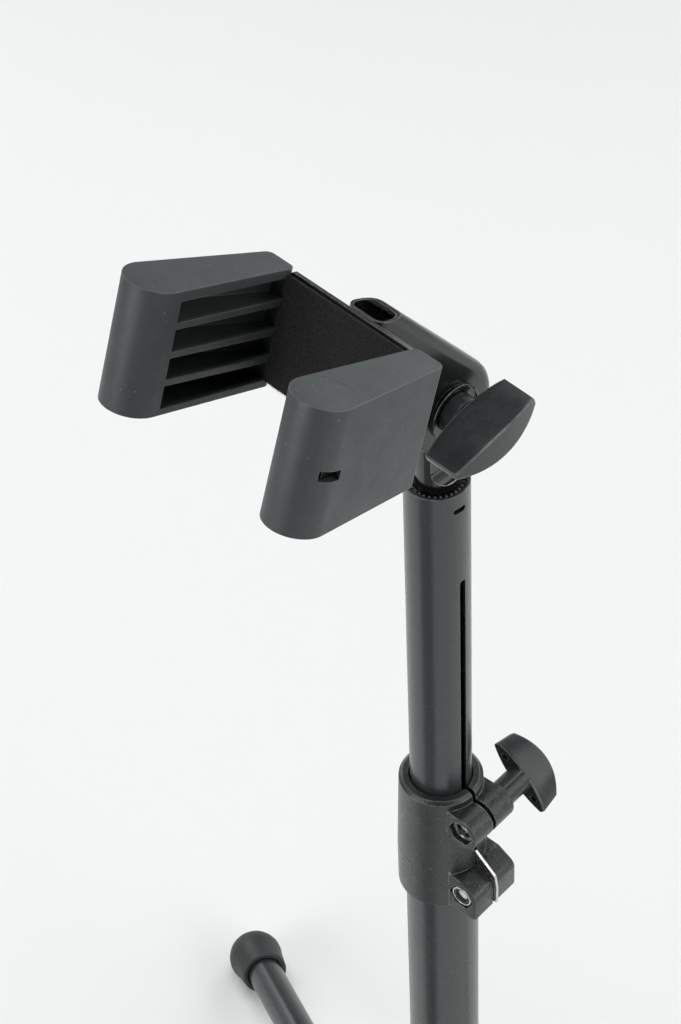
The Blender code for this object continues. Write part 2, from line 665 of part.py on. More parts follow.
def make_back_plate(head):
    """The steel plate and the two tabs that run forward inside the arms."""
    back = PLATE_BACK
    front = back + PLATE_THICKNESS
    near = arm_outer(back) - TAB_INSET
    far = arm_outer(TAB_END) - TAB_INSET
    inner_near = arm_outer(front) - TAB_INSET - PLATE_THICKNESS
    inner_far = far - PLATE_THICKNESS
    right = [(near, back, 0.003), (far, TAB_END, 0), (inner_far, TAB_END, 0), (inner_near, front, 0.0012)]
    left = [(-x, t, radius) for x, t, radius in reversed(right)]
    plan = rounded([(x, -t, radius) for x, t, radius in right + left])
    plate = as_part(place(prism(plan, TAB_LOW, TAB_HIGH), head), "back_plate", "gloss_black")
    tall = rounded([(-PLATE_HALF, PLATE_LOW, 0.001), (PLATE_HALF, PLATE_LOW, 0.001), (PLATE_HALF, PLATE_HIGH, 0.001),
                    (-PLATE_HALF, PLATE_HIGH, 0.001)], 3)
    middle = place(prism(tall, back, front, (1, 0, 0), (0, -1, 0)), head)
    combine(plate, "UNION", middle)
    for height in RIVET_HEIGHTS:
        hole = place(rod(RIVET_HOLE, 0.045, 0.065), head, (0, 0, height), (1, 0, 0), (0, -1, 0))
        combine(plate, "DIFFERENCE", hole)


def make_felt_pad(head):
    """The felt lining on the plate's front, between the arms."""
    back = PLATE_BACK + PLATE_THICKNESS + GAP
    pad = block((-0.0289, -(back + FELT_THICKNESS), PLATE_LOW + 0.0005), (0.0289, -back, PLATE_HIGH - 0.0011))
    as_part(place(pad, head), "felt_pad", "felt")


def arm_plan():
    """The arm's plan as (x, t): straight inside, splayed outside, with a round nose."""
    nose_x = ARM_INNER + NOSE_RADIUS
    nose = arc((nose_x, NOSE_T), NOSE_RADIUS, 180, -ARM_SPLAY, 22)
    back = rounded([(nose[-1][0], nose[-1][1], 0), (ARM_OUTER, ARM_BACK, 0.0030), (ARM_INNER, ARM_BACK, 0.0025),
                    (ARM_INNER, NOSE_T, 0)])
    return nose + back[1:-1]


def level(t, low, rise):
    """Height of a face that rises steadily forward from the arm's back."""
    return low + rise * (t - ARM_BACK)


def tapered_block(side, corner):
    """A six-sided block whose corners come from corner(inwards, forwards, upwards), each -1 or 1."""
    bm = bmesh.new()
    bmesh.ops.create_cube(bm, size=2.0)
    for vert in bm.verts:
        x, t, u = corner(round(vert.co.x), round(vert.co.y), round(vert.co.z))
        vert.co = (side * x, -t, u)
    return mesh_object(bm)


def pocket(side, low_back, low_front, high_back, high_front):
    """The cutter of one pocket in an arm's inner side, its floor parallel to the arm's outer face."""
    start, end, web = ARM_BACK + 0.003, ARM_BACK + 0.052, 0.0070

    def corner(outwards, forwards, upwards):
        t = end if forwards > 0 else start
        x = arm_outer(t) - web if outwards > 0 else ARM_INNER - 0.004
        back, front = (high_back, high_front) if upwards > 0 else (low_back, low_front)
        return x, t, ARM_LOW + (front if forwards > 0 else back)

    return tapered_block(side, corner)


def tab_slot(side):
    """The cutter of the slot that the plate's tab fills."""
    outer_skin = TAB_INSET - GAP
    start, end = ARM_BACK - 0.003, TAB_END + 0.0005

    def corner(outwards, forwards, upwards):
        t = end if forwards > 0 else start
        x = arm_outer(t) - outer_skin
        if outwards < 0:
            x -= PLATE_THICKNESS + 2 * GAP
        return x, t, TAB_HIGH + GAP if upwards > 0 else TAB_LOW - GAP

    return tapered_block(side, corner)


def make_arm(head, side, name):
    """A moulded rubber arm: ribbed pockets inside, a slot for the plate's tab and a window onto its end."""
    plan = [Vector((side * x, -t)) for x, t in arm_plan()]
    arm = prism(plan, 0.0, 0.01)
    for vert in arm.data.vertices:
        t = -vert.co.y
        upper = vert.co.z > 0.005
        vert.co.z = level(t, ARM_HIGH, TOP_RISE) if upper else level(t, ARM_LOW, BOTTOM_RISE)
    bevel(arm, 0.0010, 2, 50)
    as_part(place(arm, head), name, "arm_rubber")
    for index in range(4):
        low_trim = RIB_HALF if index else 0.0
        high_trim = RIB_HALF if index < 3 else 0.0
        cutter = pocket(side, RIB_BACKS[index] + low_trim, RIB_FRONTS[index] + low_trim,
                        RIB_BACKS[index + 1] - high_trim, RIB_FRONTS[index + 1] - high_trim)
        combine(arm, "DIFFERENCE", place(cutter, head))
    combine(arm, "DIFFERENCE", place(tab_slot(side), head))
    plate_slot = sorted((side * (ARM_INNER - 0.004), side * (arm_outer(PLATE_BACK) - TAB_INSET + GAP)))
    slot = block((plate_slot[0], -(PLATE_BACK + PLATE_THICKNESS + GAP), TAB_LOW - GAP),
                 (plate_slot[1], -0.050, TAB_HIGH + GAP))
    window_x = sorted((side * (arm_outer(0.105) - 0.0040), side * 0.060))
    window = side_prism([Vector(corner) for corner in WINDOW], *window_x)
    combine(arm, "DIFFERENCE", place(slot, head), place(window, head))


def make_tilt_hardware(head):
    """Everything on the tilt bolt that turns with the bracket."""
    sideways = {"x_axis": (0, 1, 0), "z_axis": (1, 0, 0)}
    cheek = BRACKET_HALF + GAP
    rim = [(0.0106, cheek + 0.0016), (0.0113, cheek + 0.0016), (0.0113, cheek), (BOLT_HOLE, cheek),
           (BOLT_HOLE, cheek + 0.0008), (0.0103, cheek + 0.0008)]
    as_part(place(turned(rim, closed=True), head, **sideways), "cup_washer", "gloss_black")
    for side, name in ((-1, "friction_washer_left"), (1, "friction_washer_right")):
        low, high = sorted((side * (EYE_HALF + GAP), side * (BRACKET_HALF - BRACKET_WALL - GAP)))
        washer = ring(BOLT_HOLE, 0.0080, low, high, SMALL_FACETS)
        as_part(place(washer, head, **sideways), name, "nylon")
    far = ring(BOLT_HOLE, 0.0065, -cheek - 0.0012, -cheek, SMALL_FACETS, 0.0002)
    as_part(place(far, head, **sideways), "far_washer", "zinc")
    outer = cheek + 0.0012 + GAP
    make_nut("tilt_nut", head, (0, 0, 0), (0, -1, 0), (-1, 0, 0), outer, outer + 0.005)


# ------------------------------------------------------------------ base
def outward(azimuth):
    angle = math.radians(azimuth)
    return Vector((math.cos(angle), math.sin(angle), 0))


def make_leg_hub(stand):
    """The cast hub on the column's foot: a ring with a fork for each leg."""
    profile = [(HUB_RADIUS - 0.0025, HUB_TOP), (HUB_RADIUS, HUB_TOP - 0.0025), (HUB_RADIUS, HUB_BOTTOM + 0.0015),
               (HUB_RADIUS - 0.0015, HUB_BOTTOM), (LOWER_RADIUS + GAP, HUB_BOTTOM), (LOWER_RADIUS + GAP, HUB_TOP)]
    hub = as_part(place(turned(profile, closed=True), stand), "leg_hub", "cast_black")
    fork = [Vector((0.0175, LEG_PIVOT_Z + LUG_RADIUS + 0.003))]
    fork += arc((LEG_PIVOT_RADIUS, LEG_PIVOT_Z), LUG_RADIUS, 75, -90, 12)
    fork += [Vector((0.0175, LEG_PIVOT_Z - LUG_RADIUS - 0.001))]
    for azimuth in LEG_AZIMUTHS:
        out = outward(azimuth)
        across = Vector((0, 0, 1)).cross(out)
        for side in (-1, 1):
            low, high = sorted((side * (TONGUE_HALF + GAP), side * 0.0110))
            cheek = place(prism(fork, low, high), stand, (0, 0, 0), out, -across)
            combine(hub, "UNION", bevel(cheek, 0.0006, 1))
    for azimuth in LEG_AZIMUTHS:
        out = outward(azimuth)
        across = Vector((0, 0, 1)).cross(out)
        pivot = out * LEG_PIVOT_RADIUS + Vector((0, 0, LEG_PIVOT_Z))
        combine(hub, "DIFFERENCE", place(rod(BOLT_HOLE, -0.016, 0.016), stand, pivot, out, across))
        screw_way = outward(azimuth + 60)
        middle = (0, 0, LEG_PIVOT_Z)
        hole = place(rod(0.0028, 0.013, 0.030), stand, middle, (0, 0, 1), screw_way)
        combine(hub, "DIFFERENCE", hole)


def make_hub_screws(stand):
    """Three hex-socket set screws that hold the hub on the tube."""
    low = LOWER_RADIUS + 2 * GAP
    for index, azimuth in enumerate(LEG_AZIMUTHS):
        way = outward(azimuth + 60)
        profile = [(0, 0.0216), (0.0021, 0.0216), (0.0025, 0.0212), (0.0025, low), (0, low)]
        screw = place(turned(profile, SMALL_FACETS), stand, (0, 0, LEG_PIVOT_Z), (0, 0, 1), way)
        as_part(screw, f"hub_screw_{index + 1}", "zinc")
        socket = place(hexagon(0.0025, 0.0192, 0.024), stand, (0, 0, LEG_PIVOT_Z), (0, 0, 1), way)
        combine(screw, "DIFFERENCE", socket)


def make_leg_pin(stand, number, azimuth):
    """The rivet on which a leg turns."""
    head_in = 0.0110 + GAP
    half = [(0, head_in + 0.0018), (0.0034, head_in + 0.0015), (0.0050, head_in + 0.0004), (0.0050, head_in),
            (BOLT_RADIUS, head_in)]
    profile = half + [(radius, -z) for radius, z in reversed(half)]
    out = outward(azimuth)
    pivot = out * LEG_PIVOT_RADIUS + Vector((0, 0, LEG_PIVOT_Z))
    pin = place(turned(profile, SMALL_FACETS), stand, pivot, out, Vector((0, 0, 1)).cross(out))
    as_part(pin, f"leg_{number}_pin", "zinc")


def make_leg(leg, number):
    """One leg along its own +X: a hinge end in the tube's mouth, the tube, and a bulbous rubber foot."""
    along = {"x_axis": (0, 0, -1), "z_axis": (1, 0, 0)}
    outline = arc((0, 0), 0.0085, 90, 270, 14) + [Vector((0.0235, -0.0085)), Vector((0.0235, 0.0085))]
    end = bevel(prism(outline, -TONGUE_HALF, TONGUE_HALF, (1, 0, 0), (0, -1, 0)), 0.0006, 1)
    as_part(place(end, leg), f"leg_{number}_hinge_end", "cast_black")
    plug_radius = LEG_BORE - GAP
    plug = [(0, 0.045), (plug_radius - 0.001, 0.045), (plug_radius, 0.044), (plug_radius, 0.0240),
            (LEG_RADIUS, 0.0240), (LEG_RADIUS, 0.0212), (LEG_RADIUS - 0.001, 0.0202), (0, 0.0202)]
    combine(end, "UNION", place(turned(plug, LEG_FACETS), leg, **along))
    combine(end, "DIFFERENCE", place(rod(BOLT_HOLE, -0.01, 0.01), leg, (0, 0, 0), (1, 0, 0), (0, 1, 0)))
    tube = ring(LEG_BORE, LEG_RADIUS, 0.0240 + GAP, FOOT_CENTRE, LEG_FACETS, 0.0003)
    as_part(place(tube, leg, **along), f"leg_{number}_tube", "black_tube")
    make_foot_cap(leg, number, along)


def make_foot_cap(leg, number, along):
    """A rubber cap with a collar round the tube, a bulb and a flat sole on the floor."""
    mouth = FOOT_CENTRE - 0.0185
    bore = LEG_RADIUS + GAP
    seat = FOOT_CENTRE + GAP
    bulb = arc((FOOT_CENTRE, 0), FOOT_RADIUS, 0, 110, 9)
    profile = [(point[1], point[0]) for point in bulb]
    profile[0] = (0, profile[0][1])
    profile += [(0.0132, mouth + 0.0010), (0.0125, mouth), (bore + 0.0004, mouth), (bore, mouth + 0.0006),
                (bore, seat), (0, seat)]
    cap = as_part(place(turned(profile, LEG_FACETS), leg, **along), f"leg_{number}_foot_cap", "foot_rubber")
    slope = math.radians(LEG_SLOPE)
    up = Vector((-math.sin(slope), 0, math.cos(slope)))
    sole = Vector((0, 0, 0)) - up * LEG_PIVOT_Z
    floor = block((-0.02, -0.02, -0.02), (0.02, 0.02, 0.0))
    flat = Vector((math.cos(slope), 0, math.sin(slope)))
    reach = FOOT_CENTRE * math.cos(slope)
    place(floor, leg, sole + flat * reach, flat, up)
    combine(cap, "DIFFERENCE", floor)


# ------------------------------------------------------------------ assembly
def main():
    stand = frame("stand_frame", None, (COLUMN[0], COLUMN[1], 0))
    make_lower_tube(stand)
    make_column_plug(stand)
    turn = outward(CLAMP_TURN)
    clamp = frame("clamp_frame", stand, (0, 0, 0), turn)
    make_clamp_collar(clamp)
    make_clamp_nuts(clamp)
    make_clamp_screw(clamp)
    make_key_tongue(clamp)
    clamp_knob = frame("clamp_knob_axis", clamp, (EAR_REACH, 0, UPPER_EAR_Z), (1, 0, -1), (0, 1, 0))
    make_clamp_knob(clamp_knob)

    upper = frame("height_slide_axis", stand, (0, 0, UPPER_TOP))
    make_upper_tube(upper)
    make_guide_bush(upper)
    make_tilt_post(upper)
    make_grip_ring(upper)

    tilt = math.radians(HEAD_TILT)
    head = frame("head_tilt_axis", upper, (0, 0, TILT_RISE), (1, 0, 0), (0, math.sin(tilt), math.cos(tilt)))
    make_head_bracket(head)
    make_spacer(head)
    make_rivets(head)
    make_back_plate(head)
    make_felt_pad(head)
    make_arm(head, -1, "left_arm")
    make_arm(head, 1, "right_arm")
    make_tilt_hardware(head)
    wing = math.radians(15.5 + HEAD_TILT)
    tilt_knob = frame("tilt_knob_axis", head, (0, 0, 0), (0, math.cos(wing), math.sin(wing)), (1, 0, 0))
    make_tilt_knob(tilt_knob)

    make_leg_hub(stand)
    make_hub_screws(stand)
    slope = math.radians(LEG_SLOPE)
    for number, azimuth in enumerate(LEG_AZIMUTHS, 1):
        make_leg_pin(stand, number, azimuth)
        out = outward(azimuth)
        down_leg = out * math.cos(slope) - Vector((0, 0, math.sin(slope)))
        above_leg = out * math.sin(slope) + Vector((0, 0, math.cos(slope)))
        pivot = out * LEG_PIVOT_RADIUS + Vector((0, 0, LEG_PIVOT_Z))
        make_leg(frame(f"leg_{number}_axis", stand, pivot, down_leg, above_leg), number)


clear_scene()
PARTS = make_collection("instrument_cradle_stand")
GUIDES = make_collection("guides")
main()
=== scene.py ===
"""The looks of the instrument cradle stand: finer pieces over the fixed frame, materials, light and camera.

Metres, +Z up, floor at z = 0, cradle open towards -Y.
"""

import json
import math
import random

import bmesh
import bpy
from mathutils import Matrix, Vector

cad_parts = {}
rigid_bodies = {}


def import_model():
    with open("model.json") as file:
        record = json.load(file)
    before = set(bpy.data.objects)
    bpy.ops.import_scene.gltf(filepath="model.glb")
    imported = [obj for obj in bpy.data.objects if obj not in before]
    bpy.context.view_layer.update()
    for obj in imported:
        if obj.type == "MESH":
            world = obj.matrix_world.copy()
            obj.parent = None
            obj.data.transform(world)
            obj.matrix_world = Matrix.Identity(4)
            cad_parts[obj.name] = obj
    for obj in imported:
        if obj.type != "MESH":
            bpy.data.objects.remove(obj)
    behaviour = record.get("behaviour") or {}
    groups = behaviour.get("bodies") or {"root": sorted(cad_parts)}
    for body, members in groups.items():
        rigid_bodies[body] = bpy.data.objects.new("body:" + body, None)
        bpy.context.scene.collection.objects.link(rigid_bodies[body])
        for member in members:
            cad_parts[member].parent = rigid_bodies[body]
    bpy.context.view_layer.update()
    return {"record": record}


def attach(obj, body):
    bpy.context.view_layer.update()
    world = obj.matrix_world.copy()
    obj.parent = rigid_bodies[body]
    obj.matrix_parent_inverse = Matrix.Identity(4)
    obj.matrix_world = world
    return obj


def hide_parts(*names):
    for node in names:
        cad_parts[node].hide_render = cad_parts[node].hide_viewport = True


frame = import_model()

# ------------------------------------------------------------------ driving dimensions
GAP = 0.0003                 # clearance between pieces that touch
FACETS = 120                 # facets round a full turn
SMALL_FACETS = 48            # facets round a small part
LEG_FACETS = 72              # facets round a leg

COLUMN = (0.0189, 0.0605)    # the column's axis on the floor, off centre because the feet are not symmetric
UPPER_TOP = 0.677            # top of the upper tube
UPPER_LENGTH = 0.430
UPPER_RADIUS = 0.0125
UPPER_BORE = 0.0113
LOWER_TOP = 0.473
LOWER_BOTTOM = 0.080
LOWER_RADIUS = 0.015
LOWER_BORE = 0.0132

# the key slot and the clamp's ears point nearly along +X; the key's play lets the two differ a little
SLOT_TURN = 3.2
CLAMP_TURN = 6.0
SLOT_WIDTH = 0.003
SLOT_TOP = -0.045            # below the upper tube's top
SLOT_BOTTOM = -0.372
NOTCH_TURN = -2.3
NOTCH_Z = -0.008
NOTCH_RADIUS = 0.00125
NOTCH_REACH = 0.00175        # from the notch's middle to the centre of each round end
WALL_CUT = (0.008, 0.016)    # reach of the cutters that pass through the tube's wall
COLLAR_TOP = 0.5143
COLLAR_BOTTOM = 0.449
COLLAR_RADIUS = 0.0182       # at the bottom; the casting tapers a little
COLLAR_TOP_RADIUS = 0.0171
EAR_REACH = 0.0198           # the ears' bolts, out from the column's axis
EAR_BACK = -0.012
EAR_FRONT = 0.0126
LOWER_EAR_FRONT = 0.0138
NUT_SEAT = -0.0052           # floor of both nut recesses, across the split
SPLIT_WIDTH = 0.0019
KEY_HALF = 0.0006
SCREW_SEAT = 0.0096          # floor of the lower ear's counterbore
UPPER_EAR_Z = 0.502
UPPER_EAR_RADIUS = 0.008
LOWER_EAR_Z = 0.4617
UPPER_EAR = (EAR_REACH, 0, UPPER_EAR_Z)
LOWER_EAR = (EAR_REACH, 0, LOWER_EAR_Z)
COUNTERBORE = 0.0054

# M6 fasteners
BOLT_RADIUS = 0.00285
BOLT_BORE = 0.00315
BOLT_HOLE = 0.0033
NUT_FLATS = 0.010
NUT_RECESS_FLATS = 0.0105

# head, measured from the tilt bolt: x across, t forward to the arms, u up along the plate
TILT_RISE = 0.038            # tilt bolt above the upper tube's top
HEAD_TILT = 18.9             # the arms rise this much above level, in degrees
EYE_RADIUS = 0.0089
EYE_HALF = 0.0047
POST_RADIUS = 0.00875
BRACKET_HALF = 0.0085
BRACKET_WALL = 0.0012
BRACKET_REACH = 0.0195       # outer webs on either side of the tilt bolt
BRACKET_TAIL = 0.0026        # the round tail's centre, behind the bolt along the slope
BRACKET_SLOPE = 31.3         # the webs' slope above t, in degrees
BRACKET_FRONT = 0.051
BRACKET_TOP = 0.0455
PLATE_BACK = 0.0554
PLATE_THICKNESS = 0.0018
PLATE_LOW = 0.0050
PLATE_HIGH = 0.048
PLATE_HALF = 0.0291          # half width between the arms
FELT_THICKNESS = 0.0014
FELT_FRONT = PLATE_BACK + PLATE_THICKNESS + GAP + FELT_THICKNESS
FELT_HALF = 0.0289
FELT_LOW = PLATE_LOW + 0.0005
FELT_HIGH = PLATE_HIGH - 0.0011
RIVET_HEIGHTS = (0.0185, 0.0345)
RIVET_RADIUS = 0.0020
RIVET_HOLE = 0.0023
RIVET_HEAD = 0.0036
SPACER_LOW = 0.010
SPACER_HIGH = 0.0415

# arms
ARM_INNER = 0.0294
ARM_BACK = 0.0551
ARM_OUTER = 0.0425           # outer face at the back
ARM_SPLAY = 9.85             # outer face's splay, in degrees
NOSE_RADIUS = 0.0112
NOSE_X = ARM_INNER + NOSE_RADIUS
NOSE_T = 0.1098
ARM_LOW = 0.0025             # bottom and top faces at the back
ARM_HIGH = 0.0488
TOP_RISE = 0.031             # rise of each face per unit of t
BOTTOM_RISE = 0.009
TAB_INSET = 0.0033           # steel tab's outer face, in from the arm's outer face
TAB_END = 0.1120
TAB_LOW = 0.0054
TAB_HIGH = 0.0465
RIB_HALF = 0.00125           # half thickness of the ribs between an arm's pockets
RIB_BACKS = (0.003, 0.0114, 0.0220, 0.0335, 0.0429)     # rib centres above the arm's bottom, at its back
RIB_FRONTS = (0.003, 0.0131, 0.0238, 0.0347, 0.0440)    # and at its front
WINDOW = ((0.1055, 0.0234), (0.1149, 0.0247), (0.1149, 0.0287), (0.1055, 0.0272))     # its corners as (t, u)

# legs
LEG_AZIMUTHS = (157.0, 37.0, -83.0)
LEG_SLOPE = 18.0
LEG_PIVOT_RADIUS = 0.034
LEG_PIVOT_Z = 0.105
LEG_RADIUS = 0.010
LEG_BORE = 0.0085
FOOT_CENTRE = 0.2912         # along the leg, from its pivot
FOOT_RADIUS = 0.0155
HUB_RADIUS = 0.022
HUB_BOTTOM = 0.086
HUB_TOP = 0.124
TONGUE_HALF = 0.0065
LUG_RADIUS = 0.0095
FORK_HALF = 0.0110
SET_SCREW_RADIUS = 0.0025

RIM_TURN = 0.15              # faces that turn more than this at an edge, in radians,
RIM_WIDTH = 0.00042          # and are narrower than this count as rounded edges
SHARP_ANGLE = 28             # edges sharper than this are shown sharp, in degrees

# studio
FLOOR_TONE = (0.803, 0.817, 0.818)
FLOOR_RINGS = ((1.2, 0.0), (3.0, 0.0), (5.0, 0.0), (6.0, 0.25), (6.6, 0.9), (6.8, 2.0))     # radius, height
GLOW_FROM, GLOW_TO, GLOW = 2.8, 5.0, 0.32     # the far floor's glow starts and is full this far out
LIGHTS = (                   # name, place, size, power
    ("side_softbox", (1.32, 1.5, 1.4), (1.2, 1.6), 10.5),
    ("back_left_softbox", (-1.94, 0.27, 1.5), (1.2, 1.6), 20.0),
    ("back_right_softbox", (-0.42, 2.0, 1.5), (1.2, 1.6), 13.5),
    ("back_lamp", (0.0, 1.6, 2.9), (0.10, 0.10), 2.8),
    ("left_lamp", (-1.5, -1.5, 2.6), (0.10, 0.10), 3.4),
    ("top_softbox", (0.0, 0.0, 3.0), (1.2, 1.6), 30.0),
    ("low_right_softbox", (2.51, 0.33, 1.3), (1.6, 1.6), 28.0),
    ("low_left_softbox", (-0.55, -2.60, 1.3), (1.6, 1.6), 39.0),
)
CARD_FROM, CARD_TO = -106.0, -58.0     # the dark card's spread, in degrees from +X
CARD_REACH = (0.10, 1.7)
CARD_TONE = (0.27, 0.28, 0.28)
ROOM = (                     # a way round the room, its brightness low down and high up that way
    ((0.72, -0.69), 0.60, 0.0),
    ((-0.72, 0.69), 0.0, 1.9),
    ((0.66, 0.75), 2.0, 0.0),
    ((-0.66, -0.75), 0.36, 0.0),
)

# a frame's X and Z axes, for shapes turned to lie along one of the head's or the clamp's own directions
ACROSS = ((0, 1, 0), (1, 0, 0))
BACKWARD = ((1, 0, 0), (0, 1, 0))
FORWARD = ((1, 0, 0), (0, -1, 0))

BODY_OF = {                  # a piece rides on the body of the node it stands for
    node: body for body, members in frame["record"]["behaviour"]["bodies"].items() for node in members}


# ------------------------------------------------------------------ materials
class Nodes:
    """Short forms for building the nodes of a material or a world."""

    def __init__(self, owner, coordinates="Object"):
        owner.use_nodes = True
        self.owner = owner
        self.tree = owner.node_tree
        self.place = self.add("ShaderNodeTexCoord").outputs[coordinates]

    def add(self, kind, **settings):
        node = self.tree.nodes.new(kind)
        for key, value in settings.items():
            setattr(node, key, value)
        return node

    def put(self, socket, value):
        """Link an input to another node's output, or set it to a constant."""
        if isinstance(value, bpy.types.NodeSocket):
            self.tree.links.new(value, socket)
        else:
            socket.default_value = value

    def feed(self, node, **inputs):
        """Put values into a node's inputs by name, with _ for a space."""
        for key, value in inputs.items():
            self.put(node.inputs[key.replace("_", " ")], value)
        return node

    def noise(self, size, detail=2.0, stretch=(1, 1, 1)):
        """Noise whose features are about size metres across."""
        mapping = self.feed(self.add("ShaderNodeMapping"), Vector=self.place, Scale=stretch)
        node = self.add("ShaderNodeTexNoise")
        self.feed(node, Vector=mapping.outputs["Vector"], Scale=1 / size, Detail=detail)
        return node.outputs["Fac"]

    def specks(self, spacing, size):
        """1 inside scattered specks of a size, spaced about so far apart, 0 elsewhere."""
        node = self.add("ShaderNodeTexVoronoi")
        self.feed(node, Vector=self.place, Scale=1 / spacing, Randomness=1.0)
        return self.span(node.outputs["Distance"], size / spacing, 0.3 * size / spacing)

    def span(self, value, low, high, to_low=0.0, to_high=1.0, ease="LINEAR"):
        """A value carried from one range to another and held at its ends."""
        node = self.add("ShaderNodeMapRange", interpolation_type=ease)
        self.feed(node, Value=value, From_Min=low, From_Max=high, To_Min=to_low, To_Max=to_high)
        return node.outputs["Result"]

    def math(self, operation, first, second):
        node = self.add("ShaderNodeMath", operation=operation)
        self.put(node.inputs[0], first)
        self.put(node.inputs[1], second)
        return node.outputs["Value"]

    def times(self, first, second):
        return self.math("MULTIPLY", first, second)

    def plus(self, first, second):
        return self.math("ADD", first, second)

    def blend(self, factor, first, second):
        """Mix of two colours."""
        node = self.add("ShaderNodeMix", data_type="RGBA")
        self.put(node.inputs["Factor"], factor)
        for socket, colour in zip(node.inputs[6:8], (first, second)):
            plain = isinstance(colour, (tuple, list))
            self.put(socket, (*colour, 1.0) if plain else colour)
        return node.outputs[2]

    def vary(self, factor, tone, share):
        """A tone that goes from a share below to a share above itself."""
        return self.blend(factor, [(1 - share) * c for c in tone], [(1 + share) * c for c in tone])

    def edges(self, radius):
        """1 close to sharp edges, 0 away from them, and the rounded normal."""
        soft = self.feed(self.add("ShaderNodeBevel", samples=6), Radius=radius)
        true = self.add("ShaderNodeNewGeometry")
        dot = self.add("ShaderNodeVectorMath", operation="DOT_PRODUCT")
        self.tree.links.new(soft.outputs["Normal"], dot.inputs[0])
        self.tree.links.new(true.outputs["Normal"], dot.inputs[1])
        return self.span(dot.outputs["Value"], 0.995, 0.90), soft.outputs["Normal"]

    def rim(self):
        """1 on the narrow faces that round a piece's edges."""
        return self.add("ShaderNodeAttribute", attribute_name="rim").outputs["Fac"]

    def bump(self, height, distance, normal=None):
        node = self.feed(self.add("ShaderNodeBump"), Height=height, Distance=distance, Strength=1.0)
        if normal is not None:
            self.feed(node, Normal=normal)
        return node.outputs["Normal"]

    def finish(self, colour, roughness, normal, **constants):
        shader = self.tree.nodes["Principled BSDF"]
        self.feed(shader, Base_Color=colour, Roughness=roughness, Normal=normal, **constants)
        return self.owner


MATERIALS = {}               # every material of this script by its name


def new_material(name):
    MATERIALS[name] = bpy.data.materials.new(name)
    return Nodes(MATERIALS[name])


def painted(name, tone, wear_and_highlight_tone, gloss, grain, depth, edge_wear_and_highlight=0.5, edge=0.0005, coat=0.0, specular=0.5,
            uneven=0.15, painted_glints=0.0):
    """Black paint: a slightly uneven tone and gloss, a fine texture, and paler edges that are partly rubbed
    wear and partly a painted edge highlight; painted glints where asked.
    """
    n = new_material(name)
    mottle = n.noise(0.012, 4.0)
    edge_mask, soft_normal = n.edges(edge)
    edge_mask = n.math("MAXIMUM", edge_mask, n.rim())
    # paler edges: part rubbed wear, part a painted highlight along edges and rims
    rubbed_and_lit_edges = n.times(edge_mask, n.span(n.noise(0.004, 3.0), 0.35, 0.6, 0.25, 1.0))
    ground = n.vary(mottle, tone, uneven)
    if painted_glints:
        # painted glints: pale specks that stand in for sparkles of light on the casting
        painted_glint_specks = n.times(n.specks(0.0011, 0.00022), n.span(n.noise(0.0035, 2.0), 0.5, 0.62))
        ground = n.blend(n.times(painted_glint_specks, painted_glints), ground, (0.30, 0.30, 0.30))
    dust = n.times(n.specks(0.0065, 0.00028), n.span(mottle, 0.45, 0.6))
    dusty = n.blend(n.times(dust, 0.5), ground, (0.35, 0.35, 0.35))
    colour = n.blend(n.times(rubbed_and_lit_edges, edge_wear_and_highlight), dusty, wear_and_highlight_tone)
    smudge = n.span(n.noise(0.02, 5.0), 0.3, 0.7, gloss - 0.3 * uneven, gloss + 0.4 * uneven)
    roughness = n.span(n.noise(grain * 2, 2.0), 0.3, 0.7, -0.13 * uneven, 0.13 * uneven)
    peel = n.bump(n.noise(grain, 2.0), depth, soft_normal)
    n.finish(colour, n.plus(smudge, roughness), peel, Coat_Weight=coat, Coat_Roughness=0.08,
             Specular_IOR_Level=specular)


def moulded(name, tone, gloss, grain, depth, dust_share, edge=0.0005, sheen=0.0, edge_highlight_tone=None,
            specular=0.5, uneven=0.1, dust=0.00022):
    """Moulded plastic or rubber: fine grain, sparse pale dust and slightly paler edges, which are a painted
    edge highlight.
    """
    n = new_material(name)
    mottle = n.noise(0.015, 4.0)
    edge_mask, soft_normal = n.edges(edge)
    breaks = n.span(n.noise(0.003, 3.0), 0.3, 0.6, 0.4, 1.0)
    edge_mask = n.times(n.math("MAXIMUM", edge_mask, n.rim()), breaks)
    handled = n.plus(n.times(mottle, 0.5), n.times(n.noise(0.0022, 4.0), 0.5))
    ground = n.vary(n.span(handled, 0.38, 0.62), tone, uneven)
    grainy = n.vary(n.span(n.noise(grain, 2.0), 0.35, 0.65), tone, 0.07)
    mixed = n.blend(0.5, ground, grainy)
    bits = n.times(n.specks(0.0030, dust), n.span(n.noise(0.006, 2.0), 0.48, 0.58))
    dusty = n.blend(n.times(bits, dust_share), mixed, (0.42, 0.42, 0.41))
    # paler edges: a painted edge highlight
    colour = n.blend(n.times(edge_mask, 0.6), dusty, edge_highlight_tone or [1.5 * c for c in tone])
    roughness = n.span(n.noise(0.008, 3.0), 0.3, 0.7, gloss - 0.05, gloss + 0.05)
    texture = n.bump(n.noise(grain, 3.0), depth, soft_normal)
    n.finish(colour, roughness, texture, Sheen_Weight=sheen, Sheen_Roughness=0.5, Specular_IOR_Level=specular)


def plated(name, tone, gloss):
    """Bright zinc: faint brushing, a patchy passivated tone, duller spots and a painted highlight along sharp
    edges.
    """
    n = new_material(name)
    edge_mask, soft_normal = n.edges(0.0003)
    patches = n.noise(0.005, 4.0)
    ground = n.blend(patches, [0.85 * c for c in tone], [1.1 * c for c in tone])
    # paler towards sharp edges: a painted edge highlight
    colour = n.blend(n.times(edge_mask, 0.5), ground, (0.80, 0.80, 0.79))
    roughness = n.span(n.noise(0.0012, 3.0), 0.3, 0.7, gloss - 0.08, gloss + 0.1)
    brushed = n.bump(n.noise(0.0008, 3.0, (1, 1, 12)), 0.00001, soft_normal)
    n.finish(colour, roughness, brushed, Metallic=1.0)


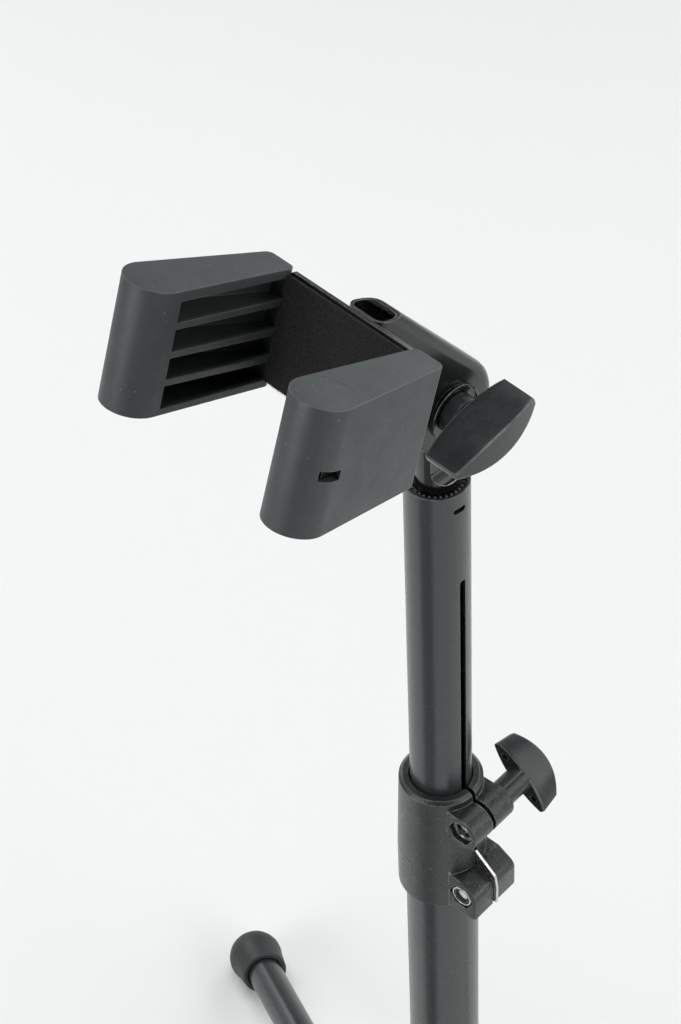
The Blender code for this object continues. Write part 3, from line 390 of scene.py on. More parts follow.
def felted(name):
    """Black felt: matted fibres lying up and down, with lint."""
    n = new_material(name)
    fibres = n.noise(0.00035, 4.0, (1.6, 0.6, 0.45))
    clumps = n.noise(0.003, 3.0, (1.0, 1.0, 0.6))
    ground = n.blend(n.span(fibres, 0.35, 0.65), (0.0015, 0.0015, 0.0015), (0.020, 0.0205, 0.0190))
    lint = n.times(n.specks(0.005, 0.0003), 0.3)
    colour = n.blend(lint, ground, (0.25, 0.25, 0.25))
    height = n.plus(fibres, n.times(clumps, 0.5))
    n.finish(colour, n.span(clumps, 0.3, 0.7, 0.88, 1.0), n.bump(height, 0.00012),
             Sheen_Weight=0.06, Sheen_Roughness=0.6, Specular_IOR_Level=0.12)


def make_materials():
    # each paint's second tone is its paler edge tone: part wear and part painted edge highlight, strongest on
    # post_black and spring_black
    painted("black_tube", (0.0180, 0.0220, 0.0232), (0.20, 0.21, 0.21), 0.27, 0.0012, 0.000001,
            edge=0.0004, specular=0.75, uneven=0.03)
    painted("gloss_black", (0.0052, 0.0060, 0.0062), (0.42, 0.42, 0.42), 0.25, 0.0011, 0.000004,
            edge_wear_and_highlight=0.9, edge=0.0003, coat=0.12)
    painted("post_black", (0.0050, 0.0056, 0.0058), (0.60, 0.60, 0.60), 0.13, 0.0011, 0.000003,
            edge_wear_and_highlight=0.8, edge=0.0003, coat=0.4, uneven=0.08)
    painted("plate_black", (0.0060, 0.0065, 0.0066), (0.26, 0.26, 0.26), 0.26, 0.0009, 0.000004,
            edge_wear_and_highlight=0.9, edge=0.0003, coat=0.1)
    painted("spring_black", (0.003, 0.003, 0.003), (0.70, 0.70, 0.69), 0.25, 0.0009, 0.000004,
            edge_wear_and_highlight=0.8, edge=0.0002)
    # the ring's beads: pale grey, painted glints on the teeth of a black ring
    painted("painted_glint_bead", (0.20, 0.20, 0.20), (0.50, 0.50, 0.50), 0.18, 0.0009, 0.000004)
    painted("cast_black", (0.0140, 0.0168, 0.0175), (0.30, 0.31, 0.31), 0.27, 0.00070, 0.00024,
            edge_wear_and_highlight=0.8, edge=0.0006, specular=0.62, painted_glints=1.0)
    # the moulded edge tones are a painted edge highlight
    moulded("knob_plastic", (0.0215, 0.0252, 0.0260), 0.27, 0.0003, 0.000004, 0.3, edge=0.00035,
            edge_highlight_tone=(0.16, 0.165, 0.165), specular=0.55)
    moulded("arm_rubber", (0.0305, 0.0368, 0.0382), 0.50, 0.00045, 0.000060, 0.8, sheen=0.04,
            edge_highlight_tone=(0.135, 0.145, 0.147), uneven=0.20, dust=0.00026)
    moulded("foot_rubber", (0.0175, 0.0195, 0.0205), 0.55, 0.0005, 0.000030, 0.5, sheen=0.03)
    felted("felt")
    plated("zinc", (0.66, 0.66, 0.65), 0.24)
    plated("dark_zinc", (0.16, 0.16, 0.16), 0.30)
    moulded("nylon", (0.05, 0.05, 0.05), 0.45, 0.0006, 0.000010, 0.1)


# ------------------------------------------------------------------ scene helpers
def make_collection(name):
    collection = bpy.data.collections.new(name)
    bpy.context.scene.collection.children.link(collection)
    return collection


def turn_to(x_axis, z_axis):
    """The rotation whose own X and Z run along two perpendicular directions."""
    x = Vector(x_axis).normalized()
    z = Vector(z_axis).normalized()
    y = z.cross(x)
    return Matrix((x, y, z)).transposed()


def axis_frame(name, parent, location, x_axis=(1, 0, 0), z_axis=(0, 0, 1)):
    """An empty that carries the pieces of one body."""
    empty = bpy.data.objects.new(name, None)
    empty.empty_display_size = 0.02
    GUIDES.objects.link(empty)
    empty.parent = parent
    empty.location = location
    empty.rotation_euler = turn_to(x_axis, z_axis).to_euler()
    return empty


def place(obj, parent, location=(0, 0, 0), x_axis=(1, 0, 0), z_axis=(0, 0, 1)):
    obj.parent = parent
    obj.location = location
    obj.rotation_euler = turn_to(x_axis, z_axis).to_euler()
    return obj


def as_part(obj, name, finish):
    """Name a shape after the node it will stand for and note its finish."""
    obj.name = f"{name}_shape"
    obj["node"] = name
    obj["finish"] = finish
    PARTS.objects.link(obj)
    return obj


def as_guide(obj, name):
    """Put a cutter or a joined-on shape out of sight."""
    obj.name = name
    obj.hide_render = True
    obj.display_type = "WIRE"
    if obj.name not in GUIDES.objects:
        GUIDES.objects.link(obj)
    return obj


def boolean(obj, operation, other):
    modifier = obj.modifiers.new(f"{operation.lower()}_{other.name}", "BOOLEAN")
    modifier.operation = operation
    modifier.solver = "EXACT"
    modifier.object = other


def combine(obj, operation, *others):
    """Join, cut or intersect a piece with shapes that share its parent."""
    for index, other in enumerate(others):
        as_guide(other, f"{obj.name}_{operation.lower()}_{index + len(obj.modifiers)}")
        boolean(obj, operation, other)


def cut(obj, *cutters):
    combine(obj, "DIFFERENCE", *cutters)


def join(obj, *others):
    combine(obj, "UNION", *others)


# ------------------------------------------------------------------ shape helpers
def mesh_object(bm):
    bm.normal_update()
    bmesh.ops.recalc_face_normals(bm, faces=bm.faces[:])
    mesh = bpy.data.meshes.new("shape")
    bm.to_mesh(mesh)
    bm.free()
    return bpy.data.objects.new("shape", mesh)


def block(low, high):
    """A box between two corners."""
    bm = bmesh.new()
    bmesh.ops.create_cube(bm, size=1.0)
    size = Vector(high) - Vector(low)
    middle = (Vector(high) + Vector(low)) / 2
    for vert in bm.verts:
        vert.co = Vector(a * b for a, b in zip(vert.co, size)) + middle
    return mesh_object(bm)


def rod(radius, low, high, facets=SMALL_FACETS, turn=0.0):
    """A cylinder or regular bar on the local Z axis, turned about it by so many degrees."""
    bm = bmesh.new()
    shift = Matrix.Translation((0, 0, (low + high) / 2)) @ Matrix.Rotation(math.radians(turn), 4, "Z")
    bmesh.ops.create_cone(bm, cap_ends=True, segments=facets, radius1=radius, radius2=radius,
                          depth=high - low, matrix=shift)
    return mesh_object(bm)


def hex_corner(flats):
    """A hexagon's corner radius from its width across flats."""
    return flats / math.cos(math.radians(30)) / 2


def hexagon(flats, low, high):
    """A hexagonal bar on the local Z axis, two flats facing +X and -X."""
    return rod(hex_corner(flats), low, high, 6, 30)


def turned(profile, facets=FACETS, closed=False):
    """A profile of (radius, z) points, outer side downwards, turned about the local Z axis."""
    mesh = bpy.data.meshes.new("shape")
    verts = [(radius, 0, z) for radius, z in profile]
    edges = [(i, i + 1) for i in range(len(verts) - 1)]
    if closed:
        edges.append((len(verts) - 1, 0))
    mesh.from_pydata(verts, edges, [])
    obj = bpy.data.objects.new("shape", mesh)
    screw = obj.modifiers.new("turn", "SCREW")
    screw.axis = "Z"
    screw.steps = facets
    screw.render_steps = facets
    screw.use_merge_vertices = True
    screw.merge_threshold = 0.00001
    screw.use_smooth_shade = True
    return obj


def ring(inner, outer, low, high, facets=FACETS, chamfer=0.0):
    """A turned ring of rectangular section, its outer edges chamfered."""
    profile = [(outer - chamfer, high), (outer, high - chamfer), (outer, low + chamfer),
               (outer - chamfer, low), (inner, low), (inner, high)]
    if not chamfer:
        profile = [(outer, high), (outer, low), (inner, low), (inner, high)]
    return turned(profile, facets, closed=True)


def rounded(corners, steps=5):
    """An outline from (x, y, radius) corners, each rounded by an arc."""
    outline = []
    count = len(corners)
    for index, (x, y, radius) in enumerate(corners):
        here = Vector((x, y))
        if not radius:
            outline.append(here)
            continue
        before = (Vector(corners[index - 1][:2]) - here).normalized()
        after = (Vector(corners[(index + 1) % count][:2]) - here).normalized()
        half = before.angle(after) / 2
        start = here + before * radius / math.tan(half)
        end = here + after * radius / math.tan(half)
        centre = here + (before + after).normalized() * radius / math.sin(half)
        first = start - centre
        sweep = first.angle_signed(end - centre)
        for step in range(steps + 1):
            # Vector.angle_signed is clockwise, so the turn is the other way
            angle = -sweep * step / steps
            turned_to = Matrix.Rotation(angle, 2) @ first
            outline.append(centre + turned_to)
    return outline


def arc(centre, radius, start, end, steps):
    """Points on an arc, its ends included; angles in degrees from +X."""
    angles = [math.radians(start + (end - start) * step / steps) for step in range(steps + 1)]
    return [Vector((centre[0] + radius * math.cos(a), centre[1] + radius * math.sin(a))) for a in angles]


def prism(outline, low, high, x_axis=(1, 0, 0), z_axis=(0, 0, 1)):
    """A flat outline in a frame's XY plane, filled and extruded along that frame's Z."""
    curve = bpy.data.curves.new("outline", "CURVE")
    curve.dimensions = "2D"
    curve.fill_mode = "BOTH"
    curve.extrude = (high - low) / 2
    spline = curve.splines.new("POLY")
    spline.points.add(len(outline) - 1)
    for point, (x, y) in zip(spline.points, outline):
        point.co = (x, y, 0, 1)
    spline.use_cyclic_u = True
    holder = bpy.data.objects.new("outline", curve)
    GUIDES.objects.link(holder)
    view = bpy.context.evaluated_depsgraph_get()
    mesh = bpy.data.meshes.new_from_object(holder.evaluated_get(view))
    bpy.data.objects.remove(holder)
    bm = bmesh.new()
    bm.from_mesh(mesh)
    bpy.data.meshes.remove(mesh)
    bmesh.ops.remove_doubles(bm, verts=bm.verts[:], dist=0.000001)
    bmesh.ops.dissolve_limit(bm, angle_limit=0.001, verts=bm.verts[:], edges=bm.edges[:])
    shift = Matrix.Translation((0, 0, (low + high) / 2))
    bmesh.ops.transform(bm, matrix=turn_to(x_axis, z_axis).to_4x4() @ shift, verts=bm.verts[:])
    return mesh_object(bm)


def bevel(obj, width, segments=2, method="ANGLE"):
    """Round an object's edges, either its sharp ones or those that carry a bevel weight."""
    modifier = obj.modifiers.new("round_edges", "BEVEL")
    modifier.width = width
    modifier.segments = segments
    modifier.limit_method = method
    modifier.angle_limit = math.radians(40)
    return obj


def bevel_sides(obj, width, segments, top):
    """Round the edges of an upright prism's two side faces, but not those at its open top."""
    mesh = obj.data
    weight = mesh.attributes.new("bevel_weight_edge", "FLOAT", "EDGE")
    for edge in mesh.edges:
        first, second = (mesh.vertices[index].co for index in edge.vertices)
        on_side = abs(first.x - second.x) < 0.00001
        at_top = min(first.z, second.z) > top - 0.00001
        weight.data[edge.index].value = 1.0 if on_side and not at_top else 0.0
    return bevel(obj, width, segments, method="WEIGHT")


def outward(azimuth):
    """The level direction that lies so many degrees round from +X."""
    angle = math.radians(azimuth)
    return Vector((math.cos(angle), math.sin(angle), 0))


def arc_radius(half_chord, rise):
    """The radius of an arc from half its chord and its rise."""
    return (half_chord * half_chord + rise * rise) / (2 * rise)


def skin(bm, loops):
    """Quads between each closed loop of vertices and the next."""
    for first, second in zip(loops, loops[1:]):
        for i in range(len(first)):
            j = (i + 1) % len(first)
            bm.faces.new((first[i], first[j], second[j], second[i]))


def lofted(bm, loops):
    """A solid skinned over a row of loops, with flat ends."""
    skin(bm, loops)
    bm.faces.new(loops[0])
    bm.faces.new(loops[-1])
    return mesh_object(bm)


# ------------------------------------------------------------------ column
def make_upper_tube(upper):
    """The tube with its key slot, and the oval notch that pins the post."""
    tube = ring(UPPER_BORE, UPPER_RADIUS, -UPPER_LENGTH, 0, chamfer=0.0003)
    place(tube, upper)
    as_part(tube, "upper_tube", "black_tube")
    out = outward(SLOT_TURN)
    half = SLOT_WIDTH / 2
    slot = arc((SLOT_TOP - half, 0), half, -90, 90, 6) + arc((SLOT_BOTTOM + half, 0), half, 90, 270, 6)
    slot_cutter = place(prism(slot, *WALL_CUT, (0, 0, 1), out), upper)
    notch = (arc((0, NOTCH_REACH), NOTCH_RADIUS, 0, 180, 6)
             + arc((0, -NOTCH_REACH), NOTCH_RADIUS, 180, 360, 6))
    notch_cutter = place(prism(notch, *WALL_CUT, (0, 0, 1), outward(NOTCH_TURN)), upper, (0, 0, NOTCH_Z))
    cut(tube, slot_cutter, notch_cutter)


def make_guide_bush(upper):
    """A flanged bush on the upper tube's lower end, which guides it in the lower tube."""
    spigot = UPPER_BORE - GAP
    flange = LOWER_BORE - GAP
    bore, top, bottom = 0.008, 0.015, -0.004
    profile = [(spigot, top), (spigot, -GAP), (flange, -GAP), (flange, bottom), (bore, bottom), (bore, top)]
    bush = place(turned(profile, SMALL_FACETS, closed=True), upper, (0, 0, -UPPER_LENGTH))
    as_part(bush, "guide_bush", "knob_plastic")


def make_lower_tube(stand):
    tube = ring(LOWER_BORE, LOWER_RADIUS, LOWER_BOTTOM, LOWER_TOP, chamfer=0.0004)
    as_part(place(tube, stand), "lower_tube", "black_tube")


def make_column_plug(stand):
    """The plastic plug in the column's bottom end."""
    stem = LOWER_BORE - GAP
    profile = [(0, 0.0085), (stem - 0.001, 0.0085), (stem, 0.0075), (stem, -GAP), (LOWER_RADIUS, -GAP),
               (LOWER_RADIUS, -0.002), (LOWER_RADIUS - 0.001, -0.003), (0, -0.003)]
    plug = place(turned(profile, SMALL_FACETS), stand, (0, 0, LOWER_BOTTOM))
    as_part(plug, "column_plug", "knob_plastic")


def make_tilt_post(upper):
    """The post: a plug in the tube, a round neck, and an eye milled flat on both sides."""
    top, shoulder, plug = TILT_RISE + 0.012, -0.0023, UPPER_BORE - GAP
    neck = turned([(0, top), (POST_RADIUS, top), (POST_RADIUS, shoulder), (plug, shoulder), (plug, -0.031),
                   (0.0095, -0.0325), (0, -0.0325)])
    post = as_part(place(neck, upper), "tilt_post", "post_black")
    wide, low = 0.012, -0.040
    eye = arc((0, TILT_RISE), EYE_RADIUS, 0, 180, 16)
    eye += [(-wide, 0.020), (-wide, low), (wide, low), (wide, 0.020)]
    side = place(prism(eye, -0.02, 0.02, *ACROSS), upper)
    fillet, fillet_z = 0.0075, 0.0095
    reach = math.degrees(math.acos(1 - (POST_RADIUS + 0.0006 - EYE_HALF) / fillet))
    sweep = arc((EYE_HALF + fillet, fillet_z), fillet, 180, 180 + reach, 7)
    right = [(0.013, low), (0.013, sweep[-1][1])] + sweep[::-1] + [(EYE_HALF, 0.060)]
    left = [(-x, z) for x, z in reversed(right)]
    front = place(prism(right + left, -0.02, 0.02, *FORWARD), upper)
    combine(post, "INTERSECT", side, front)
    hole = place(rod(BOLT_HOLE, -0.012, 0.012), upper, (0, 0, TILT_RISE), *ACROSS)
    cut(post, hole)


def make_grip_ring(upper):
    """The toothed spring ring round the post's neck, just inside the tube's mouth."""
    outer = UPPER_BORE - 0.0002
    teeth, tooth = 28, 0.0008
    outline = []
    for step in range(teeth * 2):
        radius = outer if step % 2 else outer - tooth
        angle = math.pi * step / teeth
        outline.append((radius * math.cos(angle), radius * math.sin(angle)))
    toothed = as_part(place(prism(outline, -0.0020, -0.0010), upper), "grip_ring", "spring_black")
    cut(toothed, place(rod(POST_RADIUS + GAP, -0.01, 0.01, FACETS), upper))


def make_ring_beads(upper):
    """The grip ring's raised points, between the post and the tube, pale grey as painted glints on its teeth.
    """
    bm = bmesh.new()
    middle = (POST_RADIUS + UPPER_BORE) / 2
    count = 30
    for index in range(count):
        angle = math.tau * index / count
        place_at = Matrix.Translation((middle * math.cos(angle), middle * math.sin(angle), -0.0009))
        bmesh.ops.create_icosphere(bm, subdivisions=2, radius=0.00042, matrix=place_at)
    beads = as_part(place(mesh_object(bm), upper), "grip_ring", "painted_glint_bead")
    beads["extra"] = "ring_beads"


# ------------------------------------------------------------------ clamp
def hex_nut(name, seat, low, high, finish="zinc"):
    """A hex nut with its outer corners chamfered; seat is its parent, place, X and Z axes."""
    corner, chamfer = hex_corner(NUT_FLATS), 0.0005
    profile = [(0, high), (NUT_FLATS / 2, high), (corner, high - chamfer), (corner + 0.001, low), (0, low)]
    nut = as_part(place(hexagon(NUT_FLATS, low, high), *seat), name, finish)
    combine(nut, "INTERSECT", place(turned(profile, SMALL_FACETS), *seat))
    return nut


def make_nut(name, seat, low, high, finish="zinc"):
    """A chamfered hex nut with its bore countersunk at the outer end."""
    nut = hex_nut(name, seat, low, high, finish)
    above = high + 0.0003
    mouth = [(0, above), (BOLT_BORE + 0.0009, above), (BOLT_BORE, high - 0.0006), (BOLT_BORE, low - 0.002),
             (0, low - 0.002)]
    cut(nut, place(turned(mouth, SMALL_FACETS), *seat))


def make_clamp_collar(clamp):
    """The cast split collar: a stepped ring, a barrel-shaped upper ear and squared lower ears."""
    inset, through, core = 0.0004, 0.016, 0.010
    above, below = COLLAR_TOP + 0.0057, COLLAR_BOTTOM - 0.009
    profile = [(COLLAR_TOP_RADIUS - 0.0014, COLLAR_TOP), (COLLAR_TOP_RADIUS, COLLAR_TOP - 0.0014),
               (COLLAR_RADIUS, LOWER_TOP), (COLLAR_RADIUS, COLLAR_BOTTOM + 0.0025),
               (COLLAR_RADIUS - 0.0022, COLLAR_BOTTOM), (core, COLLAR_BOTTOM), (core, COLLAR_TOP)]
    collar = as_part(place(turned(profile, closed=True), clamp), "clamp_collar", "cast_black")
    barrel = rod(UPPER_EAR_RADIUS, EAR_BACK, EAR_FRONT, 32)
    bevel(place(barrel, clamp, UPPER_EAR, *BACKWARD), 0.0006)
    root = block((0.011, EAR_BACK + inset, UPPER_EAR_Z - UPPER_EAR_RADIUS + inset),
                 (EAR_REACH, EAR_FRONT - inset, UPPER_EAR_Z + UPPER_EAR_RADIUS - inset))
    place(root, clamp)
    ear = rounded([(0.011, 0.4715, 0), (0.0190, 0.4710, 0.003), (0.0277, 0.4660, 0.005),
                   (0.0277, 0.4516, 0.002), (0.011, 0.4516, 0)])
    ears = bevel(place(prism(ear, -LOWER_EAR_FRONT, -EAR_BACK, *FORWARD), clamp), 0.0008)
    join(collar, barrel, root, ears)
    upper_bore, lower_bore, step = 0.0131, LOWER_RADIUS + GAP, LOWER_TOP + GAP
    stepped = [(0, above), (upper_bore, above), (upper_bore, step), (lower_bore, step), (lower_bore, below),
               (0, below)]
    bore = place(turned(stepped), clamp)
    split = place(block((0.008, -SPLIT_WIDTH / 2, below), (0.040, SPLIT_WIDTH / 2, above)), clamp)
    cut(collar, bore, split)
    for at in (UPPER_EAR, LOWER_EAR):
        hole = place(rod(BOLT_HOLE, -through, through), clamp, at, *BACKWARD)
        recess = place(hexagon(NUT_RECESS_FLATS, -through, NUT_SEAT), clamp, at, *BACKWARD)
        cut(collar, hole, recess)
    cut(collar, place(rod(COUNTERBORE, SCREW_SEAT, through), clamp, LOWER_EAR, *BACKWARD))


def make_clamp_nuts(clamp):
    """The captive nut of the upper ear, and the lower ear's lock nut with its nylon ring."""
    low = GAP - NUT_SEAT
    make_nut("clamp_nut", (clamp, UPPER_EAR, *FORWARD), low, low + 0.005, "dark_zinc")
    seat = (clamp, LOWER_EAR, *FORWARD)
    lock = hex_nut("lock_nut", seat, low, low + 0.0040)
    groove_radius, groove_low, past = 0.0041, 0.0096, 0.014
    rim = [(point.x, point.y) for point in arc((0.00447, 0.01115), 0.00045, 90, 0, 8)]
    dome = [(0, 0.0116)] + rim + [(0.00492, 0.0080), (0, 0.0080)]
    join(lock, place(turned(dome, SMALL_FACETS), *seat))
    cut(lock, place(rod(BOLT_BORE, 0, past), *seat), place(rod(groove_radius, groove_low, past), *seat))
    nylon = ring(BOLT_BORE, groove_radius - GAP, groove_low + GAP, 0.0113, SMALL_FACETS)
    as_part(place(nylon, *seat), "lock_nut_ring", "nylon")


def make_clamp_screw(clamp):
    """The lower ears' socket-head screw."""
    head, seat = 0.0048, SCREW_SEAT + GAP
    top, chamfer = seat + 0.0038, 0.0004
    profile = [(0, top), (head - chamfer, top), (head, top - chamfer), (head, seat), (BOLT_RADIUS, seat),
               (BOLT_RADIUS, -0.0097), (0.0022, -0.0104), (0, -0.0104)]
    screw = place(turned(profile, SMALL_FACETS), clamp, LOWER_EAR, *BACKWARD)
    as_part(screw, "clamp_screw", "zinc")
    cut(screw, place(hexagon(0.004, seat + 0.0014, seat + 0.006), clamp, LOWER_EAR, *BACKWARD))


def make_key_tongue(clamp):
    """The steel key in the collar's split, whose tab runs in the upper tube's slot."""
    outline = rounded([(0.0098, 0.4795, 0), (0.0180, 0.4790, 0.001), (0.0283, 0.4702, 0.0025),
                       (0.0293, 0.4640, 0.002), (0.0293, 0.4545, 0.0006), (0.0157, 0.4545, 0),
                       (0.0157, 0.4736, 0), (0.0098, 0.4736, 0)])
    key = place(prism(outline, -KEY_HALF, KEY_HALF, *FORWARD), clamp)
    as_part(key, "key_tongue", "zinc")
    cut(key, place(rod(BOLT_HOLE, -0.01, 0.01), clamp, LOWER_EAR, *BACKWARD))


# ------------------------------------------------------------------ knobs
def grip_shape(length, top_length, half_width, tip, shoulder, tip_top, crown):
    """A wing knob's grip: lens-shaped in plan, domed on top, narrower there, with every edge rounded."""
    half, top_half = length / 2, top_length / 2
    lens_radius = arc_radius(half, half_width - tip)
    dome_radius = arc_radius(top_half, crown - tip_top)
    edge = 0.0006
    corner_steps, side_steps = 5, 10
    bm = bmesh.new()

    def ring_at(station, inset):
        """One section across the grip; station runs from -1 to 1, inset draws it in at the ends."""
        along = station * half
        wide = max(math.sqrt(lens_radius ** 2 - along ** 2) - (lens_radius - half_width) - inset, 0.0003)
        top_along = station * top_half
        top = crown - dome_radius + math.sqrt(dome_radius ** 2 - top_along ** 2) - inset
        low = shoulder + inset
        section = []
        for middle_y, middle_z, start in ((wide - edge, top - edge, 0), (edge - wide, top - edge, 90),
                                          (edge - wide, low + edge, 180), (wide - edge, low + edge, 270)):
            corner = arc((middle_y, middle_z), edge, start, start + 90, corner_steps)
            section += [tuple(point) for point in corner]
        dense = []
        for index, (y, z) in enumerate(section):
            next_y, next_z = section[(index + 1) % len(section)]
            dense.append((y, z))
            if (index + 1) % (corner_steps + 1) == 0:
                for step in range(1, side_steps):
                    share = step / side_steps
                    dense.append((y + (next_y - y) * share, z + (next_z - z) * share))
        verts = []
        for y, z in dense:
            share = (z - shoulder) / (tip_top - shoulder)
            reach = half + (top_half - half) * min(share, 1.0)
            verts.append(bm.verts.new((station * reach, y, z)))
        return verts

    stations = [math.sin(math.pi / 2 * (i / 24 - 1)) for i in range(49)]
    end_inset = 0.0005
    loops = [ring_at(-1.0, end_inset)]
    loops += [ring_at(station * 0.985, 0.0) for station in stations]
    loops += [ring_at(1.0, end_inset)]
    return lofted(bm, loops)


def make_knob(name, body, stem_radius, base, bore_end, **grip_sizes):
    """A wing knob on the local Z axis: a stem from base up to its domed lens-shaped grip."""
    grip = as_part(place(grip_shape(**grip_sizes), body), name, "knob_plastic")
    join(grip, place(rod(stem_radius, base, grip_sizes["shoulder"] + 0.0004, 96), body))
    cut(grip, place(rod(BOLT_BORE, base - 0.002, bore_end), body))
    return grip


def make_stud(name, body, low, high, thread_end):
    """A stud moulded into a knob, with an M6 thread from its free end up to thread_end."""
    facets, pitch, depth, chamfer = 32, 0.001, 0.00045, 0.0007
    heights = [low + i * pitch / 8 for i in range(int((thread_end - low) / pitch * 8) + 1)]
    heights += [thread_end + 0.0005, high - chamfer, high]
    bm = bmesh.new()
    loops = []
    for z in heights:
        loop = []
        for i in range(facets):
            phase = ((z - low) / pitch - i / facets) % 1.0
            flank = abs(2 * phase - 1)
            threaded = z <= thread_end
            radius = BOLT_RADIUS - (depth * min(max(1.3 * flank - 0.15, 0.0), 1.0) if threaded else 0.0)
            radius = min(radius, 0.0021 + (z - low) * 1.1, 0.0022 + (high - z))
            angle = math.tau * i / facets
            loop.append(bm.verts.new((radius * math.cos(angle), radius * math.sin(angle), z)))
        loops.append(loop)
    as_part(place(lofted(bm, loops), body), name, "zinc")


def make_clamp_knob(clamp_knob):
    """The T-knob: its grip has a round hole up each wing from below."""
    grip = make_knob("clamp_knob", clamp_knob, stem_radius=0.0058, base=EAR_FRONT + GAP, bore_end=0.0303,
                     length=0.0346, top_length=0.0316, half_width=0.0053, tip=0.0015,
                     shoulder=0.0256, tip_top=0.0352, crown=0.0392)
    for side in (-1, 1):
        cut(grip, place(rod(0.00175, 0.020, 0.0290, 32), clamp_knob, (side * 0.0105, 0, 0)))
    make_stud("clamp_bolt", clamp_knob, -0.0088, 0.030, 0.004)


def make_tilt_knob(tilt_knob):
    """The broad wing knob of the tilt."""
    make_knob("tilt_knob", tilt_knob, stem_radius=0.008, base=0.0099, bore_end=0.0250,
              length=0.0412, top_length=0.0408, half_width=0.0062, tip=0.0015,
              shoulder=0.015, tip_top=0.030, crown=0.0338)
    make_stud("tilt_bolt", tilt_knob, -0.0158, 0.0247, -0.0080)


# ------------------------------------------------------------------ head
def web_point(t, offset):
    """Height u of the line that runs up the bracket's slope at an offset from the tilt bolt."""
    slope = math.radians(BRACKET_SLOPE)
    return (offset + t * math.sin(slope)) / math.cos(slope)


def bracket_outline(reach, front, top):
    """The bracket's side outline as (t, u): a round tail, two sloping webs and an upright front."""
    slope = math.radians(BRACKET_SLOPE)
    upper_t = (top * math.cos(slope) - reach) / math.sin(slope)
    behind = (-BRACKET_TAIL * math.cos(slope), -BRACKET_TAIL * math.sin(slope))
    tail = arc(behind, reach, BRACKET_SLOPE + 90, BRACKET_SLOPE + 270, 16)
    return tail + [(front, web_point(front, -reach)), (front, top), (upper_t, top)]


def side_prism(outline, low, high):
    """A prism across the head from an outline of (t, u) points; t runs along the frame's -Y."""
    return prism([(-t, u) for t, u in outline], low, high, *ACROSS)


def cut_rivet_holes(piece, head):
    for height in RIVET_HEIGHTS:
        cut(piece, place(rod(RIVET_HOLE, 0.045, 0.065), head, (0, 0, height), *FORWARD))


def make_head_bracket(head):
    """The pressed bracket: a flattened tube with an open mouth on top, open below round the post."""
    outline = bracket_outline(BRACKET_REACH, BRACKET_FRONT, BRACKET_TOP)
    outer = side_prism(outline, -BRACKET_HALF, BRACKET_HALF)
    bevel_sides(outer, 0.0045, 4, BRACKET_TOP)
    as_part(place(outer, head), "head_bracket", "gloss_black")
    half = BRACKET_HALF - BRACKET_WALL
    above = BRACKET_TOP + 0.001
    hollow = side_prism(bracket_outline(BRACKET_REACH - BRACKET_WALL, BRACKET_FRONT - BRACKET_WALL, above),
                        -half, half)
    bevel_sides(place(hollow, head), 0.0033, 4, above)
    wedge = [(0, 0)] + arc((0, 0), 0.045, 182, 342, 12)
    below = place(side_prism(wedge, -half, half), head)
    hole = place(rod(BOLT_HOLE, -0.012, 0.012), head, (0, 0, 0), *ACROSS)
    cut(outer, hollow, below, hole)
    cut_rivet_holes(outer, head)


def make_spacer(head):
    """The steel pad between the bracket's front wall and the plate."""
    pad = block((-0.0065, -(PLATE_BACK - GAP), SPACER_LOW), (0.0065, -(BRACKET_FRONT + GAP), SPACER_HIGH))
    bevel(as_part(place(pad, head), "plate_spacer", "gloss_black"), 0.0006)
    cut_rivet_holes(pad, head)


def make_rivets(head):
    """Two rivets through the plate, the spacer and the bracket's front wall."""
    inside = BRACKET_FRONT - BRACKET_WALL - GAP
    front = PLATE_BACK + PLATE_THICKNESS
    for index, height in enumerate(RIVET_HEIGHTS):
        profile = [(0, front), (RIVET_RADIUS, front), (RIVET_RADIUS, inside), (RIVET_HEAD, inside),
                   (RIVET_HEAD - 0.0004, inside - 0.0013), (0, inside - 0.0017)]
        rivet = place(turned(profile, SMALL_FACETS), head, (0, 0, height), *FORWARD)
        as_part(rivet, f"plate_rivet_{index + 1}", "zinc")


def arm_outer(t):
    """The arm's outer face across from the middle, at a distance t forward."""
    return ARM_OUTER + (t - ARM_BACK) * math.tan(math.radians(ARM_SPLAY))


def make_back_plate(head):
    """The steel plate and the two tabs that run forward inside the arms."""
    back = PLATE_BACK
    front = back + PLATE_THICKNESS
    near = arm_outer(back) - TAB_INSET
    far = arm_outer(TAB_END) - TAB_INSET
    inner_near = arm_outer(front) - TAB_INSET - PLATE_THICKNESS
    inner_far = far - PLATE_THICKNESS
    right = [(near, back, 0.003), (far, TAB_END, 0), (inner_far, TAB_END, 0), (inner_near, front, 0.0012)]
    left = [(-x, t, radius) for x, t, radius in reversed(right)]
    plan = rounded([(x, -t, radius) for x, t, radius in right + left])
    plate = as_part(place(prism(plan, TAB_LOW, TAB_HIGH), head), "back_plate", "plate_black")
    corners = ((-PLATE_HALF, PLATE_LOW), (PLATE_HALF, PLATE_LOW), (PLATE_HALF, PLATE_HIGH),
               (-PLATE_HALF, PLATE_HIGH))
    tall = rounded([(x, u, 0.001) for x, u in corners], 3)
    join(plate, place(prism(tall, back, front, *FORWARD), head))
    cut_rivet_holes(plate, head)


def make_felt_pad(head):
    """The felt lining on the plate's front, between the arms."""
    pad = block((-FELT_HALF, -FELT_FRONT, FELT_LOW), (FELT_HALF, FELT_THICKNESS - FELT_FRONT, FELT_HIGH))
    as_part(place(pad, head), "felt_pad", "felt")


